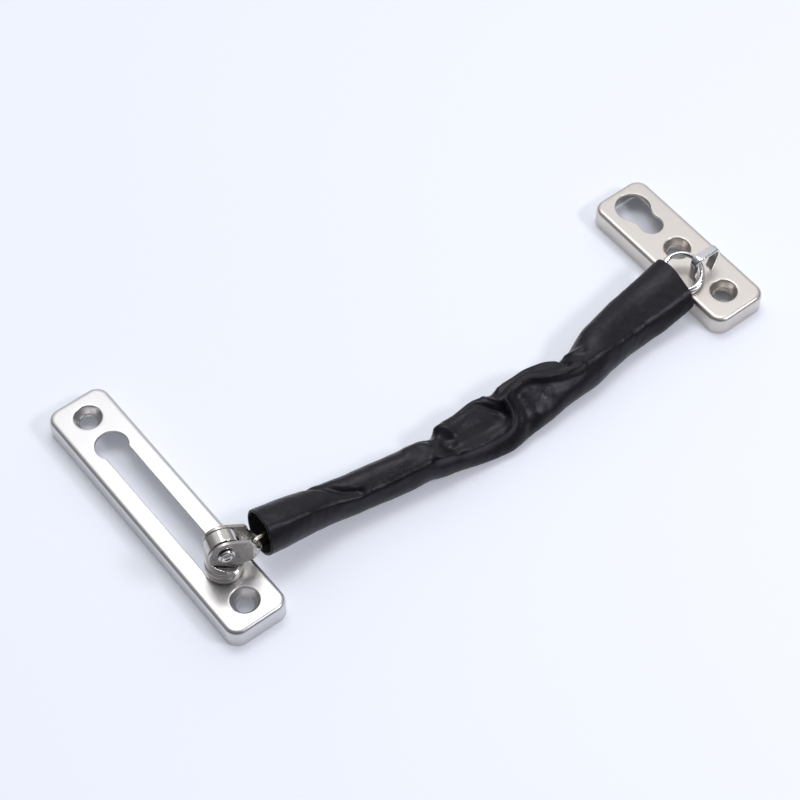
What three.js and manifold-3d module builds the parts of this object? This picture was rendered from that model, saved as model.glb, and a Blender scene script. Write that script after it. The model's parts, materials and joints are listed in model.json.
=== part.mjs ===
// A door chain guard: a slotted plate with a swivelling slider, a chain in a leather sleeve, and an
// anchor plate with an eye. Millimetres, +Z up, both plates lie with their open backs on z = 0.
// +X runs across the plates, from the slotted plate to the anchor plate. +Y runs along the plates.
import * as THREE from 'three';
import { mergeVertices } from 'three/addons/utils/BufferGeometryUtils.js';
import Module from 'manifold-3d';

const wasm = await Module();
wasm.setup();

// ---- driving dimensions ----------------------------------------------------------------------
const GAP = 0.3; // between pieces that touch or run in each other
const FAR = 60; // the size of a cutting block that only has to be large enough

const PLATE_WIDTH = 21;
const PLATE_HEIGHT = 7.2;
const SHEET = 1.2;
const FOLD_RADIUS = 1.6; // round the top edge
const CORNER_RADIUS = 4.5; // in plan
const SLOT_PLATE_LENGTH = 100.5;
const ANCHOR_PLATE_LENGTH = 62.5;
const PLATE_SPACING = 188.52;
const ANCHOR_PLATE_Y = -20.72;

const SCREW_HOLE_SPACING = 82.8; // on the slotted plate
const SCREW_HOLE_RADIUS = 2.75;
const DIMPLE_RADIUS = 4.5;
const DIMPLE_DEPTH = 3;
const ENTRY_Y = 28.2;
const ENTRY_RADIUS = 5.3;
const SLOT_HALF_WIDTH = 4.1;
const SLOT_END_Y = -29.2; // the centre of the slot's round end
const ANCHOR_SCREW_Y = [0.5, -21.8];
const PARKING_Y = 22.3;
const PARKING_RADIUS = 5.85;
const PARKING_NECK_Y = 13.2;
const PARKING_NECK_RADIUS = 3.95;
const PARKING_SHOULDER = 4.3; // half the width where the two circles of the keyhole meet
const PARKING_SHOULDER_Y = 18.3;

const SLIDER_X = 1.3; // the chain holds the slider a little to its own side of the slot
const SLIDER_Y = -29.4;
const FOOT_RADIUS = 5;
const FOOT_THICKNESS = 1.4;
const NECK_RADIUS = 2.7;
const STUD_RADIUS = 1.6;
const STUD_HEAD_RADIUS = 2.2;
const STUD_HEAD_LOW = 11.5;
const STUD_HEAD_HIGH = 12.1;
const WASHER_LOW = PLATE_HEIGHT + GAP;
const WASHER_THICKNESS = 0.7;
const WASHER_RADIUS = 5.4;

const HEAD_BASE = WASHER_LOW + WASHER_THICKNESS + GAP;
const HEAD_RADIUS = 5.8;
const HEAD_BODY_RADIUS = 5.5;
const FLANGE_HEIGHT = 3.2;
const GROOVE_DEPTH = 0.5;
const GROOVE_HEIGHT = 0.5;
const RIVET_HEIGHT = HEAD_BASE + 12;
const KNUCKLE_RADIUS = 5.4;
const KNUCKLE_HALF_WIDTH = 2.2;
const POCKET_RADIUS = 5.6;
const YOKE_AZIMUTH = -14.5; // degrees, the way the yoke points from the slider
const YOKE_TILT = 26.5; // degrees down from level
const YOKE_LOWEST_TILT = 30;

const RIVET_RADIUS = 1;
const RIVET_HEAD_RADIUS = 2.6;
const RIVET_HEAD_HEIGHT = 0.9;
const EAR_THICKNESS = 1;
const EAR_RADIUS = 5.2;
const YOKE_LENGTH = 12.5; // from the rivet to the outside of the bridge
const YOKE_BEND_RADIUS = 2.2;
const BRIDGE_LOW = -2.1;
const BRIDGE_HIGH = 1.3;
// how the ear narrows to the bridge: distance from the rivet, then height
const EAR_UNDERSIDE = [[6, -EAR_RADIUS], [9.3, -4], [10.8, -2.9], [11.5, BRIDGE_LOW]];
const EAR_TOP = [[11.5, BRIDGE_HIGH], [9.6, 2.2], [8, 4.2], [6.6, EAR_RADIUS]];

const LINK_COUNT = 11;
const LINK_WIRE_RADIUS = 0.65;
const LINK_BOW_RADIUS = 2.6;
const LINK_PITCH = 15.32;
// the way each link lies: degrees of azimuth, then degrees of rise, from the slider on
const LINK_HEADINGS = [
  [9.5, -15.5], [-1, -12], [-8.5, -5], [-10.3, -1.2], [-7, 0], [-4, 0],
  [-0.8, 0], [3.6, 0], [7.3, 1], [8.8, 3.5], [8, 7.6],
];
const LINK_SWING = 20; // degrees each way at each link

const SLEEVE_WALL = 0.9;
const SLEEVE_SIDES = 20;
const SLEEVE_MOUTH = [3.85, 3.1, -2.4]; // the centre of its open end, from the bridge
const SLEEVE_END = [85.5, -31.3, 10.9]; // past its end over the anchor plate
const SLEEVE_TRIM_X = 81.9; // where its underside ends, at z = 0
const SLEEVE_TRIM_LEAN = 10; // degrees that the end leans out over the plate
// half its width, half its height and its roll in degrees, at the mouth, each link's end and the end
const SLEEVE_SECTIONS = [
  [7.4, 7.2, 0], [6.7, 6.5, 0], [6.5, 6.3, 0], [6.3, 6.2, 0], [6.4, 6.1, 0], [6.9, 6, 0], [7.5, 5.9, 0],
  [6.8, 6, 0], [6.4, 6.1, 0], [6.9, 6.1, 3], [7.7, 5.9, 6], [8.9, 5.3, 11], [9.7, 4.7, 14],
];

const RING_RADIUS = 6.3;
const RING_WIRE_RADIUS = 1.2;
const RING_TILT = 18; // degrees, rising towards RING_RISE
const RING_RISE = 52; // degrees of azimuth
const RING_GRIP = 222; // degrees round the ring from its level side to the last link

const EYE_Y = -11.7;
const EYE_WIDTH = 3;
const EYE_STRIP = 1.2;
const EYE_TOP = 15.6;
const EYE_LEFT = -5; // the outside of its upright leg
const EYE_RIGHT = 5.6; // the outside of its top, on the leaning leg's side
const EYE_RIGHT_FOOT = 3.6;
const EYE_BEND = 2.2;
const CLENCH_LENGTH = 2.4;

// ---- solids ----------------------------------------------------------------------------------
const radians = THREE.MathUtils.degToRad;

// a closed three.js geometry as a solid, turned the right way out
function solid(geometry) {
  const bare = new THREE.BufferGeometry();
  bare.setAttribute('position', geometry.getAttribute('position'));
  if (geometry.index) bare.setIndex(geometry.index);
  const merged = mergeVertices(bare, 1e-4);
  const corners = merged.index.array;
  const triangles = [];
  for (let i = 0; i < corners.length; i += 3) {
    const [a, b, c] = [corners[i], corners[i + 1], corners[i + 2]];
    if (a !== b && b !== c && c !== a) triangles.push(a, b, c);
  }
  if (signedVolume(merged.getAttribute('position'), triangles) < 0) triangles.reverse();
  return new wasm.Manifold(new wasm.Mesh({
    numProp: 3,
    vertProperties: new Float32Array(merged.getAttribute('position').array),
    triVerts: new Uint32Array(triangles),
  }));
}

function signedVolume(position, triangles) {
  const corner = [new THREE.Vector3(), new THREE.Vector3(), new THREE.Vector3()];
  let volume = 0;
  for (let i = 0; i < triangles.length; i += 3) {
    corner.forEach((point, n) => point.fromBufferAttribute(position, triangles[i + n]));
    volume += corner[0].dot(corner[1].cross(corner[2])) / 6;
  }
  return volume;
}

function geometryOf(body) {
  const mesh = body.getMesh();
  const geometry = new THREE.BufferGeometry();
  geometry.setAttribute('position', new THREE.BufferAttribute(mesh.vertProperties, 3));
  geometry.setIndex(new THREE.BufferAttribute(mesh.triVerts, 1));
  geometry.computeVertexNormals();
  return geometry;
}

function piece(name, body, colour, roughness = 0.3, metalness = 1) {
  const material = new THREE.MeshStandardMaterial({ color: colour, roughness, metalness });
  const mesh = new THREE.Mesh(geometryOf(body), material);
  mesh.name = name;
  return mesh;
}

// a solid of revolution about Z from [radius, height] points
function turned(points, segments = 24) {
  const profile = points.map(([radius, height]) => new THREE.Vector2(radius, height));
  return solid(new THREE.LatheGeometry(profile, segments).rotateX(Math.PI / 2));
}

function rod(x, y, low, high, radius, segments = 28) {
  return turned([[0, low], [radius, low], [radius, high], [0, high]], segments).translate([x, y, 0]);
}

// a rod along Y, centred on it
function crossRod(x, z, radius, halfLength, segments = 24) {
  return rod(0, 0, -halfLength, halfLength, radius, segments).rotate([90, 0, 0]).translate([x, 0, z]);
}

function block(lowX, highX, lowY, highY, lowZ, highZ) {
  const size = [highX - lowX, highY - lowY, highZ - lowZ];
  const middle = [(lowX + highX) / 2, (lowY + highY) / 2, (lowZ + highZ) / 2];
  return solid(new THREE.BoxGeometry(...size)).translate(middle);
}

// an outline in X and Z, given depth along Y
function slab(outline, lowY, highY, curveSegments = 6) {
  const options = { depth: highY - lowY, bevelEnabled: false, curveSegments };
  const body = solid(new THREE.ExtrudeGeometry(outline, options).rotateX(Math.PI / 2));
  return body.translate([0, highY, 0]);
}

// ---- the two plates --------------------------------------------------------------------------
function roundedRectangle(width, length, radius) {
  const [x, y] = [width / 2 - radius, length / 2 - radius];
  const outline = new THREE.Shape();
  outline.absarc(x, y, radius, 0, Math.PI / 2);
  outline.absarc(-x, y, radius, Math.PI / 2, Math.PI);
  outline.absarc(-x, -y, radius, Math.PI, 1.5 * Math.PI);
  outline.absarc(x, -y, radius, 1.5 * Math.PI, 2 * Math.PI);
  outline.closePath();
  return outline;
}

// a rounded block whose top edge is folded over, running on below z = 0
function drawnBlock(width, length, corner, fold, top) {
  const geometry = new THREE.ExtrudeGeometry(roundedRectangle(width, length, corner), {
    depth: top,
    bevelThickness: fold,
    bevelSize: fold,
    bevelOffset: -fold,
    bevelSegments: 3,
    curveSegments: 5,
  });
  return solid(geometry.translate(0, 0, -fold));
}

function drawnShell(length) {
  const outside = drawnBlock(PLATE_WIDTH, length, CORNER_RADIUS, FOLD_RADIUS, PLATE_HEIGHT);
  const inside = drawnBlock(PLATE_WIDTH - 2 * SHEET, length - 2 * SHEET, CORNER_RADIUS - SHEET,
    FOLD_RADIUS - SHEET, PLATE_HEIGHT - SHEET);
  const below = block(-FAR, FAR, -FAR, FAR, -FAR, 0);
  return outside.subtract(inside).subtract(below);
}

// a screw hole sunk into the sheet: a funnel of the sheet's own thickness
function sinkScrewHole(shell, y) {
  const lip = 0.5;
  const floor = PLATE_HEIGHT - DIMPLE_DEPTH;
  const funnel = turned([
    [DIMPLE_RADIUS + 2 * lip, PLATE_HEIGHT],
    [DIMPLE_RADIUS, PLATE_HEIGHT],
    [DIMPLE_RADIUS - lip, PLATE_HEIGHT - lip / 2],
    [SCREW_HOLE_RADIUS, floor],
    [SCREW_HOLE_RADIUS, floor - SHEET],
    [SCREW_HOLE_RADIUS + lip, floor - SHEET],
    [DIMPLE_RADIUS + lip, PLATE_HEIGHT - SHEET - lip],
    [DIMPLE_RADIUS + 2 * lip, PLATE_HEIGHT - SHEET],
    [DIMPLE_RADIUS + 2 * lip, PLATE_HEIGHT],
  ]).translate([0, y, 0]);
  const hole = rod(0, y, floor, PLATE_HEIGHT + SHEET, DIMPLE_RADIUS + lip);
  return shell.subtract(hole).add(funnel);
}

const THROUGH_SHEET = [PLATE_HEIGHT - 2 * SHEET, PLATE_HEIGHT + SHEET];

function slotPlate() {
  const slot = block(-SLOT_HALF_WIDTH, SLOT_HALF_WIDTH, SLOT_END_Y, ENTRY_Y, ...THROUGH_SHEET);
  let shell = drawnShell(SLOT_PLATE_LENGTH)
    .subtract(slot)
    .subtract(rod(0, ENTRY_Y, ...THROUGH_SHEET, ENTRY_RADIUS))
    .subtract(rod(0, SLOT_END_Y, ...THROUGH_SHEET, SLOT_HALF_WIDTH));
  for (const side of [-1, 1]) shell = sinkScrewHole(shell, side * SCREW_HOLE_SPACING / 2);
  return piece('slot_plate', shell, 0xdfe2e6);
}

function anchorPlate() {
  const shoulder = block(-PARKING_SHOULDER, PARKING_SHOULDER, PARKING_SHOULDER_Y - 1, PARKING_Y,
    ...THROUGH_SHEET);
  const neck = block(-PARKING_NECK_RADIUS, PARKING_NECK_RADIUS, PARKING_NECK_Y, PARKING_Y,
    ...THROUGH_SHEET);
  let shell = drawnShell(ANCHOR_PLATE_LENGTH)
    .subtract(rod(0, PARKING_Y, ...THROUGH_SHEET, PARKING_RADIUS))
    .subtract(rod(0, PARKING_NECK_Y, ...THROUGH_SHEET, PARKING_NECK_RADIUS))
    .subtract(neck)
    .subtract(shoulder);
  for (const y of ANCHOR_SCREW_Y) shell = sinkScrewHole(shell, y);
  for (const outside of [EYE_LEFT, EYE_RIGHT_FOOT - EYE_STRIP]) {
    const cut = [outside - GAP, outside + EYE_STRIP + GAP];
    shell = shell.subtract(block(...cut, EYE_Y - EYE_WIDTH / 2 - GAP, EYE_Y + EYE_WIDTH / 2 + GAP,
      ...THROUGH_SHEET));
  }
  return piece('anchor_plate', shell, 0xe4dfd8);
}

// the strip staple, with its legs through the sheet and clenched outwards under it
function anchorEye() {
  const clenchTop = PLATE_HEIGHT - SHEET - GAP;
  const clenchLow = clenchTop - EYE_STRIP;
  const bendHeight = EYE_TOP - EYE_BEND;
  const leftBend = EYE_LEFT + EYE_BEND;
  const rightBend = EYE_RIGHT - EYE_BEND;
  const lean = Math.atan2(EYE_RIGHT - EYE_RIGHT_FOOT, bendHeight - PLATE_HEIGHT);
  const footHeight = PLATE_HEIGHT + GAP;
  const rightInside = EYE_RIGHT_FOOT - EYE_STRIP;
  const outline = new THREE.Shape();
  outline.moveTo(EYE_LEFT - CLENCH_LENGTH, clenchLow);
  outline.lineTo(EYE_LEFT - CLENCH_LENGTH, clenchTop);
  outline.lineTo(EYE_LEFT, clenchTop);
  outline.absarc(leftBend, bendHeight, EYE_BEND, Math.PI, Math.PI / 2, true);
  outline.absarc(rightBend, bendHeight, EYE_BEND, Math.PI / 2, -lean, true);
  outline.lineTo(EYE_RIGHT_FOOT, footHeight);
  outline.lineTo(EYE_RIGHT_FOOT, clenchTop);
  outline.lineTo(EYE_RIGHT_FOOT + CLENCH_LENGTH, clenchTop);
  outline.lineTo(EYE_RIGHT_FOOT + CLENCH_LENGTH, clenchLow);
  outline.lineTo(rightInside, clenchLow);
  outline.lineTo(rightInside, footHeight);
  outline.absarc(rightBend, bendHeight, EYE_BEND - EYE_STRIP, -lean, Math.PI / 2, false);
  outline.absarc(leftBend, bendHeight, EYE_BEND - EYE_STRIP, Math.PI / 2, Math.PI, false);
  outline.lineTo(EYE_LEFT + EYE_STRIP, clenchLow);
  outline.closePath();
  return piece('anchor_eye', slab(outline, EYE_Y - EYE_WIDTH / 2, EYE_Y + EYE_WIDTH / 2), 0xcfd2d4);
}

// ---- the slider ------------------------------------------------------------------------------
function sliderButton() {
  const footTop = PLATE_HEIGHT - SHEET - GAP;
  const footLow = footTop - FOOT_THICKNESS;
  const edge = 0.3;
  const body = turned([
    [0, footLow],
    [FOOT_RADIUS - edge, footLow],
    [FOOT_RADIUS, footLow + edge],
    [FOOT_RADIUS, footTop - edge],
    [FOOT_RADIUS - edge, footTop],
    [NECK_RADIUS, footTop],
    [NECK_RADIUS, PLATE_HEIGHT],
    [STUD_RADIUS, PLATE_HEIGHT],
    [STUD_RADIUS, STUD_HEAD_LOW],
    [STUD_HEAD_RADIUS, STUD_HEAD_LOW],
    [STUD_HEAD_RADIUS, STUD_HEAD_HIGH],
    [0, STUD_HEAD_HIGH],
  ], 28);
  return piece('slider_button', body, 0xb9b6b0);
}

function sliderWasher() {
  const top = WASHER_LOW + WASHER_THICKNESS;
  const hole = STUD_RADIUS + GAP;
  const body = turned([
    [hole, WASHER_LOW], [WASHER_RADIUS, WASHER_LOW], [WASHER_RADIUS, top], [hole, top], [hole, WASHER_LOW],
  ], 28);
  return piece('slider_washer', body, 0x9a9a9c);
}

// what the ears need beside the knuckle, from the yoke's lowest tilt round to upright
function pocketOutline() {
  const lowest = radians(YOKE_LOWEST_TILT);
  const start = -Math.PI / 2 - lowest;
  const reach = 2 * HEAD_RADIUS;
  const lowX = POCKET_RADIUS * Math.cos(start);
  const lowZ = POCKET_RADIUS * Math.sin(start);
  const outline = new THREE.Shape();
  outline.moveTo(-reach, reach);
  outline.lineTo(-reach, 0);
  outline.absarc(0, 0, POCKET_RADIUS, Math.PI, 2 * Math.PI + start, false);
  outline.lineTo(lowX + reach * Math.cos(lowest), lowZ - reach * Math.sin(lowest));
  outline.lineTo(reach, reach);
  outline.closePath();
  return outline;
}

function swivelHead() {
  const top = RIVET_HEIGHT + KNUCKLE_RADIUS;
  const flangeTop = HEAD_BASE + FLANGE_HEIGHT;
  const edge = 0.7;
  const outside = turned([
    [0, HEAD_BASE],
    [HEAD_RADIUS - edge, HEAD_BASE],
    [HEAD_RADIUS, HEAD_BASE + edge],
    [HEAD_RADIUS, flangeTop - edge],
    [HEAD_RADIUS - GROOVE_DEPTH, flangeTop],
    [HEAD_BODY_RADIUS - GROOVE_DEPTH, flangeTop + GROOVE_HEIGHT / 2],
    [HEAD_BODY_RADIUS, flangeTop + GROOVE_HEIGHT],
    [HEAD_BODY_RADIUS, top],
    [0, top],
  ], 36);
  const barrel = crossRod(0, RIVET_HEIGHT, KNUCKLE_RADIUS, HEAD_RADIUS + 1, 36)
    .add(block(-HEAD_RADIUS - 1, HEAD_RADIUS + 1, -HEAD_RADIUS - 1, HEAD_RADIUS + 1, 0, RIVET_HEIGHT));
  const pockets = [[KNUCKLE_HALF_WIDTH, 2 * HEAD_RADIUS], [-2 * HEAD_RADIUS, -KNUCKLE_HALF_WIDTH]]
    .map(([low, high]) => slab(pocketOutline(), low, high, 8).translate([0, 0, RIVET_HEIGHT]));
  const bore = turned([
    [0, 0],
    [STUD_RADIUS + GAP, 0],
    [STUD_RADIUS + GAP, STUD_HEAD_LOW - GAP],
    [STUD_HEAD_RADIUS + GAP, STUD_HEAD_LOW - GAP],
    [STUD_HEAD_RADIUS + GAP, STUD_HEAD_HIGH + GAP],
    [0, STUD_HEAD_HIGH + GAP],
  ], 24);
  const body = outside
    .intersect(barrel)
    .subtract(pockets[0])
    .subtract(pockets[1])
    .subtract(crossRod(0, RIVET_HEIGHT, RIVET_RADIUS + GAP, HEAD_RADIUS))
    .subtract(bore);
  return piece('swivel_head', body, 0xc9c8c6, 0.15);
}

// the cross rivet, closed to a ring with a hollow in its middle at both ends
function pivotRivet() {
  const seat = KNUCKLE_HALF_WIDTH + GAP + EAR_THICKNESS + GAP;
  const top = seat + RIVET_HEAD_HEIGHT;
  const edge = 0.4;
  const half = [
    [RIVET_RADIUS, seat],
    [RIVET_HEAD_RADIUS, seat],
    [RIVET_HEAD_RADIUS, top - 2 * edge],
    [RIVET_HEAD_RADIUS - edge, top],
    [RIVET_HEAD_RADIUS - 2 * edge, top],
    [RIVET_HEAD_RADIUS - 3 * edge, top - edge],
    [0, top - edge],
  ];
  const mirrored = half.map(([radius, height]) => [radius, -height]).reverse();
  return piece('pivot_rivet', turned([...mirrored, ...half], 24).rotate([90, 0, 0]), 0xc0bfbd, 0.2);
}

// the ear's outline beside the knuckle, narrowing to the bridge
function earOutline() {
  const outline = new THREE.Shape();
  outline.absarc(0, 0, EAR_RADIUS, Math.PI / 2, 1.5 * Math.PI, false);
  for (const [along, height] of EAR_UNDERSIDE) outline.lineTo(along, height);
  outline.lineTo(YOKE_LENGTH + 1, BRIDGE_LOW);
  outline.lineTo(YOKE_LENGTH + 1, BRIDGE_HIGH);
  for (const [along, height] of EAR_TOP) outline.lineTo(along, height);
  outline.closePath();
  return outline;
}

// a strip bent to a U, seen from above: two ears and a bridge
function yoke() {
  const inside = KNUCKLE_HALF_WIDTH + GAP;
  const outside = inside + EAR_THICKNESS;
  const bend = YOKE_LENGTH - YOKE_BEND_RADIUS;
  const innerBend = YOKE_BEND_RADIUS - EAR_THICKNESS;
  const back = -EAR_RADIUS - 1;
  const strip = new THREE.Shape();
  strip.moveTo(back, -outside);
  strip.absarc(bend, -outside + YOKE_BEND_RADIUS, YOKE_BEND_RADIUS, -Math.PI / 2, 0, false);
  strip.absarc(bend, outside - YOKE_BEND_RADIUS, YOKE_BEND_RADIUS, 0, Math.PI / 2, false);
  strip.lineTo(back, outside);
  strip.lineTo(back, inside);
  strip.absarc(bend, inside - innerBend, innerBend, Math.PI / 2, 0, true);
  strip.absarc(bend, -inside + innerBend, innerBend, 0, -Math.PI / 2, true);
  strip.lineTo(back, -inside);
  strip.closePath();
  const height = 3 * EAR_RADIUS;
  const options = { depth: height, bevelEnabled: false, curveSegments: 6 };
  const bent = solid(new THREE.ExtrudeGeometry(strip, options)).translate([0, 0, -height / 2]);
  const body = bent
    .intersect(slab(earOutline(), -2 * outside, 2 * outside, 14))
    .subtract(crossRod(0, 0, RIVET_RADIUS + GAP, 2 * outside));
  return piece('yoke', body, 0xb4b0aa, 0.2);
}

// ---- the chain -------------------------------------------------------------------------------
function heading([azimuth, rise]) {
  const [a, r] = [radians(azimuth), radians(rise)];
  return new THREE.Vector3(Math.cos(r) * Math.cos(a), Math.cos(r) * Math.sin(a), Math.sin(r));
}

const sliderPlace = new THREE.Vector3(-PLATE_SPACING / 2 + SLIDER_X, SLIDER_Y, 0);
const anchorPlace = new THREE.Vector3(PLATE_SPACING / 2, ANCHOR_PLATE_Y, 0);

// the middle of the bridge, where the first link turns
function bridgeMiddle() {
  const middle = new THREE.Vector3(YOKE_LENGTH - EAR_THICKNESS / 2, 0, (BRIDGE_LOW + BRIDGE_HIGH) / 2);
  middle.applyAxisAngle(new THREE.Vector3(0, 1, 0), radians(YOKE_TILT));
  middle.z += RIVET_HEIGHT;
  middle.applyAxisAngle(new THREE.Vector3(0, 0, 1), radians(YOKE_AZIMUTH));
  return middle.add(sliderPlace);
}

const directions = LINK_HEADINGS.map(heading);
const wireOverPivot = LINK_WIRE_RADIUS + GAP / 2; // from the point where two links meet to a wire's middle

// pivots[0] is the bridge, pivots[n] is where link n meets the next
const pivots = [bridgeMiddle()];
directions.forEach((direction, n) => {
  const reach = n === 0 ? LINK_PITCH - LINK_BOW_RADIUS + wireOverPivot : LINK_PITCH;
  pivots.push(pivots[n].clone().addScaledVector(direction, reach));
});

// an oval link: a ring drawn out along X. Odd links stand on edge, even links lie flat.
function chainLink(n) {
  const straight = (LINK_PITCH + 2 * wireOverPivot) / 2 - LINK_BOW_RADIUS;
  const geometry = new THREE.TorusGeometry(LINK_BOW_RADIUS, LINK_WIRE_RADIUS, 8, 18);
  const position = geometry.getAttribute('position');
  for (let i = 0; i < position.count; i += 1) {
    position.setX(i, position.getX(i) + Math.sign(position.getX(i)) * straight);
  }
  const name = `chain_link_${String(n).padStart(2, '0')}`;
  const link = piece(name, solid(geometry), 0xc8c2b4, 0.25);
  const along = directions[n - 1];
  const level = new THREE.Vector3(0, 0, 1).cross(along).normalize();
  const upright = along.clone().cross(level);
  const across = n % 2 === 1 ? upright : level;
  const turn = new THREE.Matrix4().makeBasis(along, across, along.clone().cross(across));
  link.quaternion.setFromRotationMatrix(turn);
  link.position.copy(pivots[n]).addScaledVector(along, wireOverPivot - LINK_BOW_RADIUS - straight);
  return link;
}

// ---- the leather sleeve ----------------------------------------------------------------------
const mouth = pivots[0].clone().add(new THREE.Vector3(...SLEEVE_MOUTH));
const sleeveRoute = [mouth, ...pivots.slice(1), new THREE.Vector3(...SLEEVE_END)];

function routeDirection(n) {
  const before = sleeveRoute[Math.max(n - 1, 0)];
  const after = sleeveRoute[Math.min(n + 1, sleeveRoute.length - 1)];
  return after.clone().sub(before).normalize();
}

// the points of one section of the sleeve, a flattened round, drawn in by the wall for its inside
function sleeveRing(at, along, [halfWidth, halfHeight, roll], drawnIn) {
  const level = new THREE.Vector3(0, 0, 1).cross(along).normalize();
  const upright = along.clone().cross(level);
  level.applyAxisAngle(along, radians(roll));
  upright.applyAxisAngle(along, radians(roll));
  return Array.from({ length: SLEEVE_SIDES }, (_, i) => {
    const angle = 2 * Math.PI * i / SLEEVE_SIDES;
    return at.clone()
      .addScaledVector(level, (halfWidth - drawnIn) * Math.cos(angle))
      .addScaledVector(upright, (halfHeight - drawnIn) * Math.sin(angle));
  });
}

// a closed tube through sections: out along the outside, back along the inside
function tubeThrough(stations) {
  const rings = [
    ...stations.map((s) => sleeveRing(s.at, s.along, s.section, 0)),
    ...stations.map((s) => sleeveRing(s.at, s.along, s.section, SLEEVE_WALL)).reverse(),
  ];
  const points = rings.flat();
  const index = [];
  rings.forEach((_, r) => {
    const next = (r + 1) % rings.length;
    for (let i = 0; i < SLEEVE_SIDES; i += 1) {
      const j = (i + 1) % SLEEVE_SIDES;
      const [a, b] = [r * SLEEVE_SIDES + i, r * SLEEVE_SIDES + j];
      const [c, d] = [next * SLEEVE_SIDES + i, next * SLEEVE_SIDES + j];
      index.push(a, b, d, a, d, c);
    }
  });
  const geometry = new THREE.BufferGeometry().setFromPoints(points);
  geometry.setIndex(index);
  return solid(geometry);
}

// the axis on which link n+1 turns at the end of link n: upright after an odd link, level after an even
function swingAxis(n) {
  const along = routeDirection(n);
  const level = new THREE.Vector3(0, 0, 1).cross(along).normalize();
  return n % 2 === 1 ? along.cross(level) : level;
}

// blocks that take the sleeve back on one side of a pivot, so that two parts can swing towards each other
function swingRoom(n, side) {
  const along = routeDirection(n);
  const axis = swingAxis(n);
  return [-1, 1].map((way) => {
    const normal = along.clone().applyAxisAngle(axis, way * radians(LINK_SWING / 2 + 1));
    const middle = pivots[n].clone().addScaledVector(normal, side * (FAR / 2 - GAP / 2));
    const turn = new THREE.Quaternion().setFromUnitVectors(new THREE.Vector3(1, 0, 0), normal);
    const geometry = new THREE.BoxGeometry(FAR, FAR, FAR).applyQuaternion(turn);
    return solid(geometry.translate(middle.x, middle.y, middle.z));
  });
}

// the end over the anchor plate is cut to lean out, so that its underside stops short of the plate
function sleeveTrim() {
  const beyond = block(0, FAR, -FAR, FAR, -FAR, FAR).rotate([0, SLEEVE_TRIM_LEAN, 0]);
  return beyond.translate([SLEEVE_TRIM_X, 0, 0]);
}

function sleevePart(n) {
  const last = n === LINK_COUNT;
  const stops = last ? [n - 1, n, n + 1] : [n - 1, n];
  const stations = stops.map((stop) => ({
    at: sleeveRoute[stop],
    along: routeDirection(stop),
    section: SLEEVE_SECTIONS[stop],
  }));
  const cuts = [...(n > 1 ? swingRoom(n - 1, -1) : []), ...(last ? [sleeveTrim()] : swingRoom(n, 1))];
  const body = cuts.reduce((whole, cut) => whole.subtract(cut), tubeThrough(stations));
  return piece(`sleeve_part_${String(n).padStart(2, '0')}`, body, 0x17161a, 0.5, 0);
}

// ---- the end ring ----------------------------------------------------------------------------
function endRing() {
  const level = new THREE.Vector3(1, 0, 0).applyAxisAngle(new THREE.Vector3(0, 0, 1), radians(RING_RISE - 90));
  const rise = heading([RING_RISE, RING_TILT]);
  const grip = level.clone().multiplyScalar(Math.cos(radians(RING_GRIP)))
    .addScaledVector(rise, Math.sin(radians(RING_GRIP)));
  const inner = RING_RADIUS - RING_WIRE_RADIUS - GAP / 2;
  const middle = pivots[LINK_COUNT].clone().addScaledVector(grip, -inner);
  const geometry = new THREE.TorusGeometry(RING_RADIUS, RING_WIRE_RADIUS, 10, 32);
  const ring = piece('end_ring', solid(geometry), 0xd0d0d2, 0.2);
  ring.quaternion.setFromRotationMatrix(new THREE.Matrix4().makeBasis(level, rise, level.clone().cross(rise)));
  ring.position.copy(middle);
  return ring;
}

// ---- assembly --------------------------------------------------------------------------------
const slotPlateGroup = new THREE.Group();
slotPlateGroup.position.x = -PLATE_SPACING / 2;
slotPlateGroup.add(slotPlate());

const yokeGroup = new THREE.Group();
yokeGroup.position.z = RIVET_HEIGHT;
yokeGroup.rotation.y = radians(YOKE_TILT);
yokeGroup.add(yoke(), pivotRivet());

const headGroup = new THREE.Group();
headGroup.rotation.z = radians(YOKE_AZIMUTH);
headGroup.add(swivelHead(), yokeGroup);

const sliderGroup = new THREE.Group();
sliderGroup.position.copy(sliderPlace);
sliderGroup.add(sliderButton(), sliderWasher(), headGroup);

const chainGroup = new THREE.Group();
for (let n = 1; n <= LINK_COUNT; n += 1) chainGroup.add(chainLink(n), sleevePart(n));
chainGroup.add(endRing());

const anchorGroup = new THREE.Group();
anchorGroup.position.copy(anchorPlace);
anchorGroup.add(anchorPlate(), anchorEye());

// the plates don't lie level with each other, so the whole is moved along to be centred on the origin
const farEdge = SLOT_PLATE_LENGTH / 2;
const nearEdge = ANCHOR_PLATE_Y - ANCHOR_PLATE_LENGTH / 2;
const doorChainGuard = new THREE.Group();
doorChainGuard.position.y = -(farEdge + nearEdge) / 2;
doorChainGuard.add(slotPlateGroup, sliderGroup, chainGroup, anchorGroup);

export default doorChainGuard;
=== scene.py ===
"""A door chain guard: two drawn steel plates, a swivelling slider, and a chain in a leather sleeve.

Lengths are in millimetres in the part's own frame until a mesh is made, and in metres after that.
"""

import json
import math

import bpy
import numpy as np
from mathutils import Matrix, Vector, noise
from mathutils.geometry import delaunay_2d_cdt
from mathutils.kdtree import KDTree


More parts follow.
